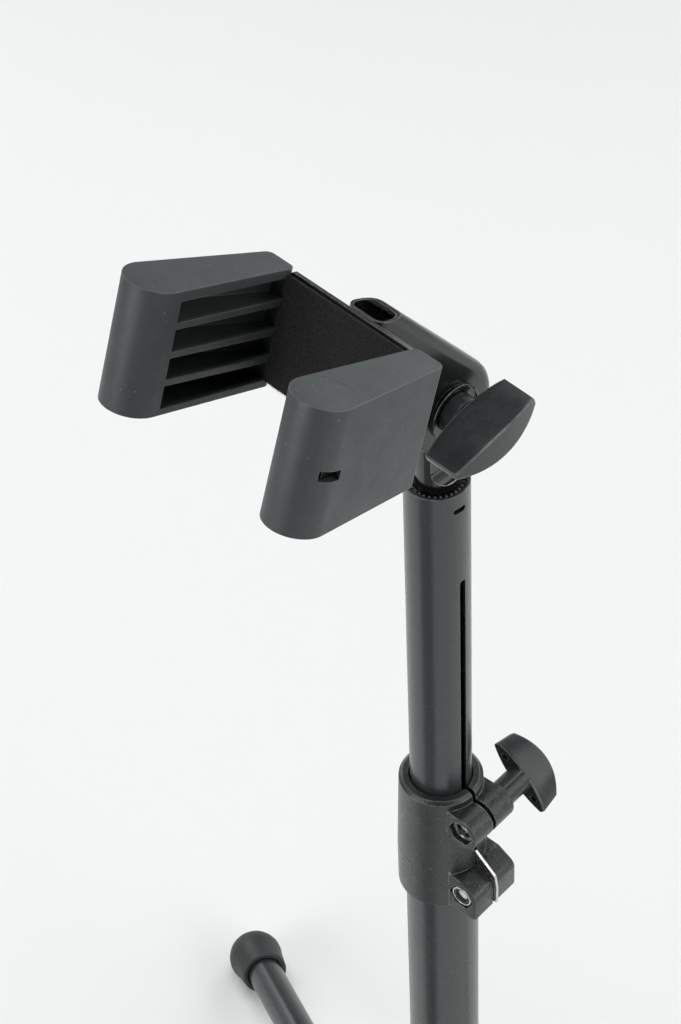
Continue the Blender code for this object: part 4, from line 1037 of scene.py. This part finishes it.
def make_felt_nap(head):
    """Loose fibres on the felt's face and along its edges."""
    rng = random.Random(11)
    reach = FELT_HALF - 0.0001
    count = 5200
    bm = bmesh.new()
    for index in range(count):
        x = rng.uniform(-reach, reach)
        z = rng.uniform(FELT_LOW, FELT_HIGH) if index % 7 else FELT_LOW + rng.uniform(-0.0001, 0.0003)
        root = Vector((x, 0.00012 - FELT_FRONT, z))
        sag = -1.0 if z < FELT_LOW + 0.001 else rng.choice((-1.0, -0.6, 0.7))
        lean = Vector((rng.uniform(-0.25, 0.25), -rng.uniform(0.25, 0.7), sag))
        tip = root + lean * rng.uniform(0.0004, 0.0009)
        wide = Vector((rng.uniform(0.00003, 0.00005), 0, rng.uniform(-0.00001, 0.00001)))
        deep = Vector((0, 0.00005, 0))
        corners = [bm.verts.new(co) for co in (root - wide, root + wide, root + deep, tip)]
        for face in ((0, 1, 3), (1, 2, 3), (2, 0, 3), (0, 2, 1)):
            bm.faces.new([corners[i] for i in face])
    nap = as_part(place(mesh_object(bm), head), "felt_pad", "felt")
    nap["extra"] = "felt_nap"


def arm_plan():
    """The arm's plan as (x, t): straight inside, splayed outside, with a round nose."""
    nose = arc((NOSE_X, NOSE_T), NOSE_RADIUS, 180, -ARM_SPLAY, 22)
    back = rounded([(*nose[-1], 0), (ARM_OUTER, ARM_BACK, 0.0030), (ARM_INNER, ARM_BACK, 0.0025),
                    (ARM_INNER, NOSE_T, 0)])
    return nose + back[1:-1]


def level(t, low, rise):
    """Height of a face that rises steadily forward from the arm's back."""
    return low + rise * (t - ARM_BACK)


def tapered_block(side, corner):
    """A six-sided block whose corners come from corner(inwards, forwards, upwards), each -1 or 1."""
    bm = bmesh.new()
    bmesh.ops.create_cube(bm, size=2.0)
    for vert in bm.verts:
        x, t, u = corner(round(vert.co.x), round(vert.co.y), round(vert.co.z))
        vert.co = (side * x, -t, u)
    return mesh_object(bm)


def pocket(side, low_back, low_front, high_back, high_front):
    """The cutter of one pocket in an arm's inner side, its floor parallel to the arm's outer face."""
    start, end, wall = ARM_BACK + 0.003, ARM_BACK + 0.052, 0.0070

    def corner(outwards, forwards, upwards):
        t = end if forwards > 0 else start
        x = arm_outer(t) - wall if outwards > 0 else ARM_INNER - 0.004
        back, front = (high_back, high_front) if upwards > 0 else (low_back, low_front)
        return x, t, ARM_LOW + (front if forwards > 0 else back)

    return tapered_block(side, corner)


def tab_slot(side):
    """The cutter of the slot that the plate's tab fills."""
    outer_skin = TAB_INSET - GAP
    start, end = ARM_BACK - 0.003, TAB_END + 0.0005

    def corner(outwards, forwards, upwards):
        t = end if forwards > 0 else start
        x = arm_outer(t) - outer_skin
        if outwards < 0:
            x -= PLATE_THICKNESS + 2 * GAP
        return x, t, TAB_HIGH + GAP if upwards > 0 else TAB_LOW - GAP

    return tapered_block(side, corner)


def soften_arm(arm):
    """Round the arm's edges, most of all the long one between its top and its outer face."""
    mesh = arm.data
    weight = mesh.attributes.new("bevel_weight_edge", "FLOAT", "EDGE")
    bm = bmesh.new()
    bm.from_mesh(mesh)
    for edge in bm.edges:
        first, second = (vert.co for vert in edge.verts)
        if edge.calc_face_angle(0.0) < math.radians(50):
            continue
        crosswise = abs(first.x - second.x) > 0.0005
        upper = min(first.z, second.z) > 0.03
        long = (first - second).length > 0.03
        outer = min(abs(first.x), abs(second.x)) > ARM_OUTER - 0.005
        weight.data[edge.index].value = 1.0 if long and upper and outer and crosswise else 0.55
    bm.free()
    bevel(arm, 0.0021, 5, method="WEIGHT")


def nose_seam(side):
    """A fine moulding line that closes the nose's circle on the arm's top."""
    half_line, depth = 0.00010, 0.00010
    centre = (side * NOSE_X, -NOSE_T)
    line = (arc(centre, NOSE_RADIUS + half_line, 8, 172, 40)
            + arc(centre, NOSE_RADIUS - half_line, 172, 8, 40))
    cutter = prism(line, 0.0, 0.01)
    for vert in cutter.data.vertices:
        top = level(-vert.co.y, ARM_HIGH, TOP_RISE)
        vert.co.z = top + 0.002 if vert.co.z > 0.005 else top - depth
    return cutter


def make_arm(head, side, name):
    """A moulded rubber arm: ribbed pockets inside, a slot for the plate's tab and a window onto its end."""
    arm = prism([(side * x, -t) for x, t in arm_plan()], 0.0, 0.01)
    for vert in arm.data.vertices:
        t = -vert.co.y
        upper = vert.co.z > 0.005
        vert.co.z = level(t, ARM_HIGH, TOP_RISE) if upper else level(t, ARM_LOW, BOTTOM_RISE)
    soften_arm(arm)
    as_part(place(arm, head), name, "arm_rubber")
    pockets = len(RIB_BACKS) - 1
    for index in range(pockets):
        low_trim = RIB_HALF if index else 0.0
        high_trim = RIB_HALF if index < pockets - 1 else 0.0
        cutter = pocket(side, RIB_BACKS[index] + low_trim, RIB_FRONTS[index] + low_trim,
                        RIB_BACKS[index + 1] - high_trim, RIB_FRONTS[index + 1] - high_trim)
        cut(arm, place(cutter, head))
    cut(arm, place(tab_slot(side), head))
    low_x, high_x = sorted((side * (ARM_INNER - 0.004), side * (arm_outer(PLATE_BACK) - TAB_INSET + GAP)))
    slot = block((low_x, -(PLATE_BACK + PLATE_THICKNESS + GAP), TAB_LOW - GAP),
                 (high_x, -0.050, TAB_HIGH + GAP))
    window = side_prism(WINDOW, *sorted((side * (arm_outer(0.105) - 0.0040), side * 0.060)))
    cut(arm, place(slot, head), place(window, head), place(nose_seam(side), head))


def make_tilt_hardware(head):
    """Everything on the tilt bolt that turns with the bracket."""
    seat = (head, (0, 0, 0), *ACROSS)
    cheek = BRACKET_HALF + GAP
    lip, floor, cup = cheek + 0.0016, cheek + 0.0008, 0.0113
    rim = [(cup - 0.0007, lip), (cup, lip), (cup, cheek), (BOLT_HOLE, cheek), (BOLT_HOLE, floor),
           (cup - 0.0010, floor)]
    as_part(place(turned(rim, closed=True), *seat), "cup_washer", "post_black")
    for side, name in ((-1, "friction_washer_left"), (1, "friction_washer_right")):
        low, high = sorted((side * (EYE_HALF + GAP), side * (BRACKET_HALF - BRACKET_WALL - GAP)))
        washer = ring(BOLT_HOLE, 0.0080, low, high, SMALL_FACETS)
        as_part(place(washer, *seat), name, "nylon")
    far = ring(BOLT_HOLE, 0.0065, -cheek - 0.0012, -cheek, SMALL_FACETS, 0.0002)
    as_part(place(far, *seat), "far_washer", "zinc")
    outer = cheek + 0.0012 + GAP
    make_nut("tilt_nut", (head, (0, 0, 0), (0, -1, 0), (-1, 0, 0)), outer, outer + 0.005)


# ------------------------------------------------------------------ base
def leg_seat(stand, azimuth):
    """A leg's pivot on the hub: its parent, place, outward X axis and Z axis along the pin."""
    out = outward(azimuth)
    pivot = out * LEG_PIVOT_RADIUS + Vector((0, 0, LEG_PIVOT_Z))
    return stand, pivot, out, Vector((0, 0, 1)).cross(out)


def screw_seat(stand, azimuth):
    """A hub screw's parent, place, X axis and outward Z axis, midway between two legs."""
    return stand, (0, 0, LEG_PIVOT_Z), (0, 0, 1), outward(azimuth + 60)


def make_leg_hub(stand):
    """The cast hub on the column's foot: a ring with a fork for each leg."""
    bore, top_chamfer, low_chamfer = LOWER_RADIUS + GAP, 0.0025, 0.0015
    profile = [(HUB_RADIUS - top_chamfer, HUB_TOP), (HUB_RADIUS, HUB_TOP - top_chamfer),
               (HUB_RADIUS, HUB_BOTTOM + low_chamfer), (HUB_RADIUS - low_chamfer, HUB_BOTTOM),
               (bore, HUB_BOTTOM), (bore, HUB_TOP)]
    hub = as_part(place(turned(profile, closed=True), stand), "leg_hub", "cast_black")
    root = 0.0175
    fork = [(root, LEG_PIVOT_Z + LUG_RADIUS + 0.003)]
    fork += arc((LEG_PIVOT_RADIUS, LEG_PIVOT_Z), LUG_RADIUS, 75, -90, 12)
    fork += [(root, LEG_PIVOT_Z - LUG_RADIUS - 0.001)]
    for azimuth in LEG_AZIMUTHS:
        _, _, out, across = leg_seat(stand, azimuth)
        for side in (-1, 1):
            low, high = sorted((side * (TONGUE_HALF + GAP), side * FORK_HALF))
            cheek = place(prism(fork, low, high), stand, (0, 0, 0), out, -across)
            join(hub, bevel(cheek, 0.0006, 1))
    for azimuth in LEG_AZIMUTHS:
        cut(hub, place(rod(BOLT_HOLE, -0.016, 0.016), *leg_seat(stand, azimuth)))
        cut(hub, place(rod(SET_SCREW_RADIUS + GAP, 0.013, 0.030), *screw_seat(stand, azimuth)))


def make_hub_screws(stand):
    """Three hex-socket set screws that hold the hub on the tube."""
    radius, low, high, chamfer = SET_SCREW_RADIUS, LOWER_RADIUS + 2 * GAP, 0.0216, 0.0004
    profile = [(0, high), (radius - chamfer, high), (radius, high - chamfer), (radius, low), (0, low)]
    for index, azimuth in enumerate(LEG_AZIMUTHS):
        seat = screw_seat(stand, azimuth)
        screw = as_part(place(turned(profile, SMALL_FACETS), *seat), f"hub_screw_{index + 1}", "zinc")
        cut(screw, place(hexagon(0.0025, 0.0192, 0.024), *seat))


def make_leg_pin(stand, number, azimuth):
    """The rivet on which a leg turns."""
    head_in, head = FORK_HALF + GAP, 0.0050
    half = [(0, head_in + 0.0018), (0.0034, head_in + 0.0015), (head, head_in + 0.0004), (head, head_in),
            (BOLT_RADIUS, head_in)]
    profile = half + [(radius, -z) for radius, z in reversed(half)]
    pin = place(turned(profile, SMALL_FACETS), *leg_seat(stand, azimuth))
    as_part(pin, f"leg_{number}_pin", "zinc")


def make_leg(leg, number):
    """One leg along its own +X: a hinge end in the tube's mouth, the tube, and a bulbous rubber foot."""
    seat = (leg, (0, 0, 0), (0, 0, -1), (1, 0, 0))
    eye, tongue_end, tube_start, plug_end, chamfer = 0.0085, 0.0235, 0.0240, 0.045, 0.001
    outline = arc((0, 0), eye, 90, 270, 14) + [(tongue_end, -eye), (tongue_end, eye)]
    end = bevel(prism(outline, -TONGUE_HALF, TONGUE_HALF, *FORWARD), 0.0006, 1)
    as_part(place(end, leg), f"leg_{number}_hinge_end", "cast_black")
    plug_radius, rim_start = LEG_BORE - GAP, tube_start - 0.0028
    plug = [(0, plug_end), (plug_radius - chamfer, plug_end), (plug_radius, plug_end - chamfer),
            (plug_radius, tube_start), (LEG_RADIUS, tube_start), (LEG_RADIUS, rim_start),
            (LEG_RADIUS - chamfer, rim_start - chamfer), (0, rim_start - chamfer)]
    join(end, place(turned(plug, LEG_FACETS), *seat))
    cut(end, place(rod(BOLT_HOLE, -0.01, 0.01), leg, (0, 0, 0), *BACKWARD))
    tube = ring(LEG_BORE, LEG_RADIUS, tube_start + GAP, FOOT_CENTRE, LEG_FACETS, 0.0003)
    as_part(place(tube, *seat), f"leg_{number}_tube", "black_tube")
    make_foot_cap(leg, number, seat)


def make_foot_cap(leg, number, seat):
    """A rubber cap with a collar round the tube, a bulb and a flat sole on the floor."""
    mouth, bore, end = FOOT_CENTRE - 0.0185, LEG_RADIUS + GAP, FOOT_CENTRE + GAP
    bulb = arc((FOOT_CENTRE, 0), FOOT_RADIUS, 0, 110, 9)
    profile = [(point[1], point[0]) for point in bulb]
    profile[0] = (0, profile[0][1])
    profile += [(0.0132, mouth + 0.0010), (0.0125, mouth), (bore + 0.0004, mouth), (bore, mouth + 0.0006),
                (bore, end), (0, end)]
    cap = as_part(place(turned(profile, LEG_FACETS), *seat), f"leg_{number}_foot_cap", "foot_rubber")
    slope = math.radians(LEG_SLOPE)
    up = Vector((-math.sin(slope), 0, math.cos(slope)))
    flat = Vector((math.cos(slope), 0, math.sin(slope)))
    sole = flat * FOOT_CENTRE * math.cos(slope) - up * LEG_PIVOT_Z
    cut(cap, place(block((-0.02, -0.02, -0.02), (0.02, 0.02, 0.0)), leg, sole, flat, up))


# ------------------------------------------------------------------ assembly
def main():
    stand = axis_frame("stand_frame", None, (*COLUMN, 0))
    make_lower_tube(stand)
    make_column_plug(stand)
    clamp = axis_frame("clamp_frame", stand, (0, 0, 0), outward(CLAMP_TURN))
    make_clamp_collar(clamp)
    make_clamp_nuts(clamp)
    make_clamp_screw(clamp)
    make_key_tongue(clamp)
    clamp_knob = axis_frame("clamp_knob_axis", clamp, UPPER_EAR, (1, 0, -1), (0, 1, 0))
    make_clamp_knob(clamp_knob)

    upper = axis_frame("height_slide_axis", stand, (0, 0, UPPER_TOP))
    make_upper_tube(upper)
    make_guide_bush(upper)
    make_tilt_post(upper)
    make_grip_ring(upper)
    make_ring_beads(upper)

    tilt = math.radians(HEAD_TILT)
    plate_way = (0, math.sin(tilt), math.cos(tilt))
    head = axis_frame("head_tilt_axis", upper, (0, 0, TILT_RISE), (1, 0, 0), plate_way)
    make_head_bracket(head)
    make_spacer(head)
    make_rivets(head)
    make_back_plate(head)
    make_felt_pad(head)
    make_felt_nap(head)
    make_arm(head, -1, "left_arm")
    make_arm(head, 1, "right_arm")
    make_tilt_hardware(head)
    wing = math.radians(15.5 + HEAD_TILT)
    tilt_knob = axis_frame("tilt_knob_axis", head, (0, 0, 0), (0, math.cos(wing), math.sin(wing)), (1, 0, 0))
    make_tilt_knob(tilt_knob)

    make_leg_hub(stand)
    make_hub_screws(stand)
    slope = math.radians(LEG_SLOPE)
    for number, azimuth in enumerate(LEG_AZIMUTHS, 1):
        make_leg_pin(stand, number, azimuth)
        _, pivot, out, _ = leg_seat(stand, azimuth)
        down_leg = out * math.cos(slope) - Vector((0, 0, math.sin(slope)))
        above_leg = out * math.sin(slope) + Vector((0, 0, math.cos(slope)))
        make_leg(axis_frame(f"leg_{number}_axis", stand, pivot, down_leg, above_leg), number)


# ------------------------------------------------------------------ from shapes to shown pieces
def round_surfaces():
    """Turned surfaces that booleans cut: piece, frame, axis point, axis, least and greatest radius."""
    on_axis = (Vector((0, 0, 0)), Vector((0, 0, 1)))
    on_ear = (Vector(UPPER_EAR), Vector((0, 1, 0)))
    slack = 0.0001
    return (
        ("upper_tube", "height_slide_axis", *on_axis, UPPER_RADIUS - slack, UPPER_RADIUS + slack),
        ("tilt_post", "height_slide_axis", *on_axis, POST_RADIUS - slack, POST_RADIUS + slack),
        ("clamp_collar", "clamp_frame", *on_axis, COLLAR_TOP_RADIUS - 3 * slack, COLLAR_RADIUS + slack),
        ("clamp_collar", "clamp_frame", *on_ear, UPPER_EAR_RADIUS - slack, UPPER_EAR_RADIUS + slack),
        ("leg_hub", "stand_frame", *on_axis, HUB_RADIUS - slack, HUB_RADIUS + slack),
    )


def mark_rims(bm):
    """Note the narrow faces that round an edge, for the materials."""
    rim = bm.faces.layers.float.new("rim")
    for face in bm.faces:
        area = face.calc_area()
        for edge in face.edges:
            width = area / max(edge.calc_length(), 0.000001)
            if edge.calc_face_angle(0.0) > RIM_TURN and width < RIM_WIDTH:
                face[rim] = 1.0


def settled_mesh(obj):
    """A shape's final mesh in world space, smooth but for its sharp edges."""
    view = bpy.context.evaluated_depsgraph_get()
    mesh = bpy.data.meshes.new_from_object(obj.evaluated_get(view), depsgraph=view)
    mesh.transform(obj.matrix_world)
    bm = bmesh.new()
    bm.from_mesh(mesh)
    bmesh.ops.dissolve_degenerate(bm, dist=0.000002, edges=bm.edges[:])
    mark_rims(bm)
    bm.to_mesh(mesh)
    bm.free()
    mesh.shade_smooth()
    mesh.set_sharp_from_angle(angle=math.radians(SHARP_ANGLE))
    return mesh


def true_normals(mesh, point, axis, least, greatest):
    """Give the corners of faces on a turned surface that surface's own normals."""
    normals = [Vector(corner.vector) for corner in mesh.corner_normals]
    for face in mesh.polygons:
        middle = face.center - point
        out = (middle - axis * middle.dot(axis)).normalized()
        if abs(out.dot(face.normal)) < 0.97:
            continue
        sign = 1 if out.dot(face.normal) > 0 else -1
        radials = []
        for index in face.vertices:
            arm = mesh.vertices[index].co - point
            radials.append(arm - axis * arm.dot(axis))
        if not all(least < radial.length < greatest for radial in radials):
            continue
        for loop, radial in zip(face.loop_indices, radials):
            normals[loop] = radial.normalized() * sign
    mesh.normals_split_custom_set([tuple(normal) for normal in normals])


def show(name, mesh, node, finish, stands_for=True):
    """A mesh in world space as a piece that rides with a CAD node's body and may stand in for it."""
    mesh.name = name
    mesh.materials.clear()
    mesh.materials.append(MATERIALS[finish])
    piece = bpy.data.objects.new(name, mesh)
    bpy.context.scene.collection.objects.link(piece)
    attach(piece, BODY_OF[node])
    if stands_for:
        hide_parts(node)
    return piece


def show_pieces():
    """Turn every shape into a shown piece and clear away the guides."""
    bpy.context.view_layer.update()
    frames = {obj.name: obj.matrix_world.copy() for obj in GUIDES.objects if obj.type == "EMPTY"}
    shapes = list(PARTS.objects)
    settled = [(obj["node"], obj["finish"], obj.get("extra"), settled_mesh(obj)) for obj in shapes]
    for obj in shapes + list(GUIDES.objects):
        bpy.data.objects.remove(obj, do_unlink=True)
    for collection in (PARTS, GUIDES):
        bpy.data.collections.remove(collection)
    surfaces = round_surfaces()
    for name, finish, extra, mesh in settled:
        for piece, frame_name, point, axis, least, greatest in surfaces:
            if piece == name:
                matrix = frames[frame_name]
                way = (matrix.to_3x3() @ axis).normalized()
                true_normals(mesh, matrix @ point, way, least, greatest)
        show(f"{extra or name}_shown", mesh, name, finish, stands_for=not extra)


# ------------------------------------------------------------------ floor, light and camera
def in_scene(obj):
    bpy.context.scene.collection.objects.link(obj)
    return obj


def make_floor():
    """A broad plain floor that curls up far away, all round, and glows faintly out there."""
    bm = bmesh.new()
    facets = 64
    loops = []
    for radius, height in FLOOR_RINGS:
        ways = [outward(360 * i / facets) * radius for i in range(facets)]
        loops.append([bm.verts.new((way.x, way.y, height)) for way in ways])
    centre = bm.verts.new((0, 0, 0))
    for i in range(facets):
        bm.faces.new((centre, loops[0][i], loops[0][(i + 1) % facets]))
    skin(bm, loops[::-1])
    mesh = bpy.data.meshes.new("studio_floor")
    bm.to_mesh(mesh)
    bm.free()
    mesh.shade_smooth()
    n = new_material("studio_floor")
    tone = n.vary(n.noise(0.4, 3.0), FLOOR_TONE, 0.005)
    distance = n.add("ShaderNodeVectorMath", operation="LENGTH")
    n.put(distance.inputs[0], n.place)
    glow = n.span(distance.outputs["Value"], GLOW_FROM, GLOW_TO, 0.0, GLOW)
    paper = n.finish(tone, 0.9, n.bump(n.noise(0.002, 2.0), 0.00002), Specular_IOR_Level=0.1,
                     Emission_Color=(0.98, 1.0, 1.0, 1.0), Emission_Strength=glow)
    mesh.materials.append(paper)
    in_scene(bpy.data.objects.new("studio_floor", mesh))


def make_dark_card():
    """A dim card on the floor in front, seen in reflections only."""
    bm = bmesh.new()
    rows = []
    steps = 12
    lift = Vector((0, 0, 0.003))
    for step in range(steps + 1):
        way = outward(CARD_FROM + (CARD_TO - CARD_FROM) * step / steps)
        rows.append([bm.verts.new(way * reach + lift) for reach in CARD_REACH])
    for first, second in zip(rows, rows[1:]):
        bm.faces.new((first[0], first[1], second[1], second[0]))
    card = in_scene(mesh_object(bm))
    card.name = "dark_card"
    n = new_material("card_black")
    card.data.materials.append(n.finish((*CARD_TONE, 1.0), 1.0, n.bump(n.noise(0.01), 0.0001),
                                        Specular_IOR_Level=0.0))
    card.visible_camera = False
    card.visible_diffuse = False
    card.visible_shadow = False


def add_light(name, location, size, power):
    """A rectangular light turned to the stand's middle."""
    aim = (*COLUMN, 0.5)
    data = bpy.data.lights.new(name, "AREA")
    data.shape = "RECTANGLE"
    data.size, data.size_y = size
    data.energy = power
    light = in_scene(bpy.data.objects.new(name, data))
    light.location = location
    light.rotation_euler = (Vector(aim) - Vector(location)).to_track_quat("-Z", "Y").to_euler()


def make_lights():
    for light in LIGHTS:
        add_light(*light)
    bpy.context.scene.world = make_room()


def make_room():
    """The room's plain light, brighter some ways than others."""
    world = bpy.data.worlds.new("studio")
    n = Nodes(world, "Generated")
    parts = n.add("ShaderNodeSeparateXYZ")
    n.put(parts.inputs[0], n.place)
    x, y, z = parts.outputs
    flat = n.math("SQRT", n.plus(n.times(x, x), n.times(y, y)), 0.0)
    brightness = 0.0
    for (way_x, way_y), low, high in ROOM:
        toward = n.plus(n.times(x, way_x), n.times(y, way_y))
        facing = n.math("MAXIMUM", n.math("DIVIDE", toward, n.math("MAXIMUM", flat, 0.02)), 0.0)
        lobe = n.times(n.times(facing, facing), n.span(z, 0.25, 0.55, low, high, ease="SMOOTHSTEP"))
        brightness = n.plus(lobe, brightness)
    n.feed(n.tree.nodes["Background"], Strength=brightness)
    return world


def make_camera():
    """The camera of the one known view: above and in front, looking down at the cradle."""
    data = bpy.data.cameras.new("camera")
    data.sensor_width = 36
    data.lens = 103.24
    data.clip_start = 0.05
    camera = in_scene(bpy.data.objects.new("camera", data))
    heading = Vector((-0.7516, 0.6596, 0)).normalized()
    down, roll = math.radians(43.93453), math.radians(-2.6307548)
    forward = heading * math.cos(down) - Vector((0, 0, math.sin(down)))
    level_right = Vector((heading.y, -heading.x, 0))
    level_up = level_right.cross(forward)
    right = level_right * math.cos(roll) + level_up * math.sin(roll)
    above = level_up * math.cos(roll) - level_right * math.sin(roll)
    matrix = Matrix((right, above, -forward)).transposed().to_4x4()
    matrix.translation = Vector((*COLUMN, 0)) + Vector((0.5593, -0.5380, 1.4085))
    camera.matrix_world = matrix
    bpy.context.scene.camera = camera


PARTS = make_collection("instrument_cradle_stand")
GUIDES = make_collection("guides")
make_materials()
main()
show_pieces()
make_floor()
make_dark_card()
make_lights()
make_camera()
bpy.context.scene.view_settings.view_transform = "Standard"
bpy.context.scene.view_settings.look = "None"
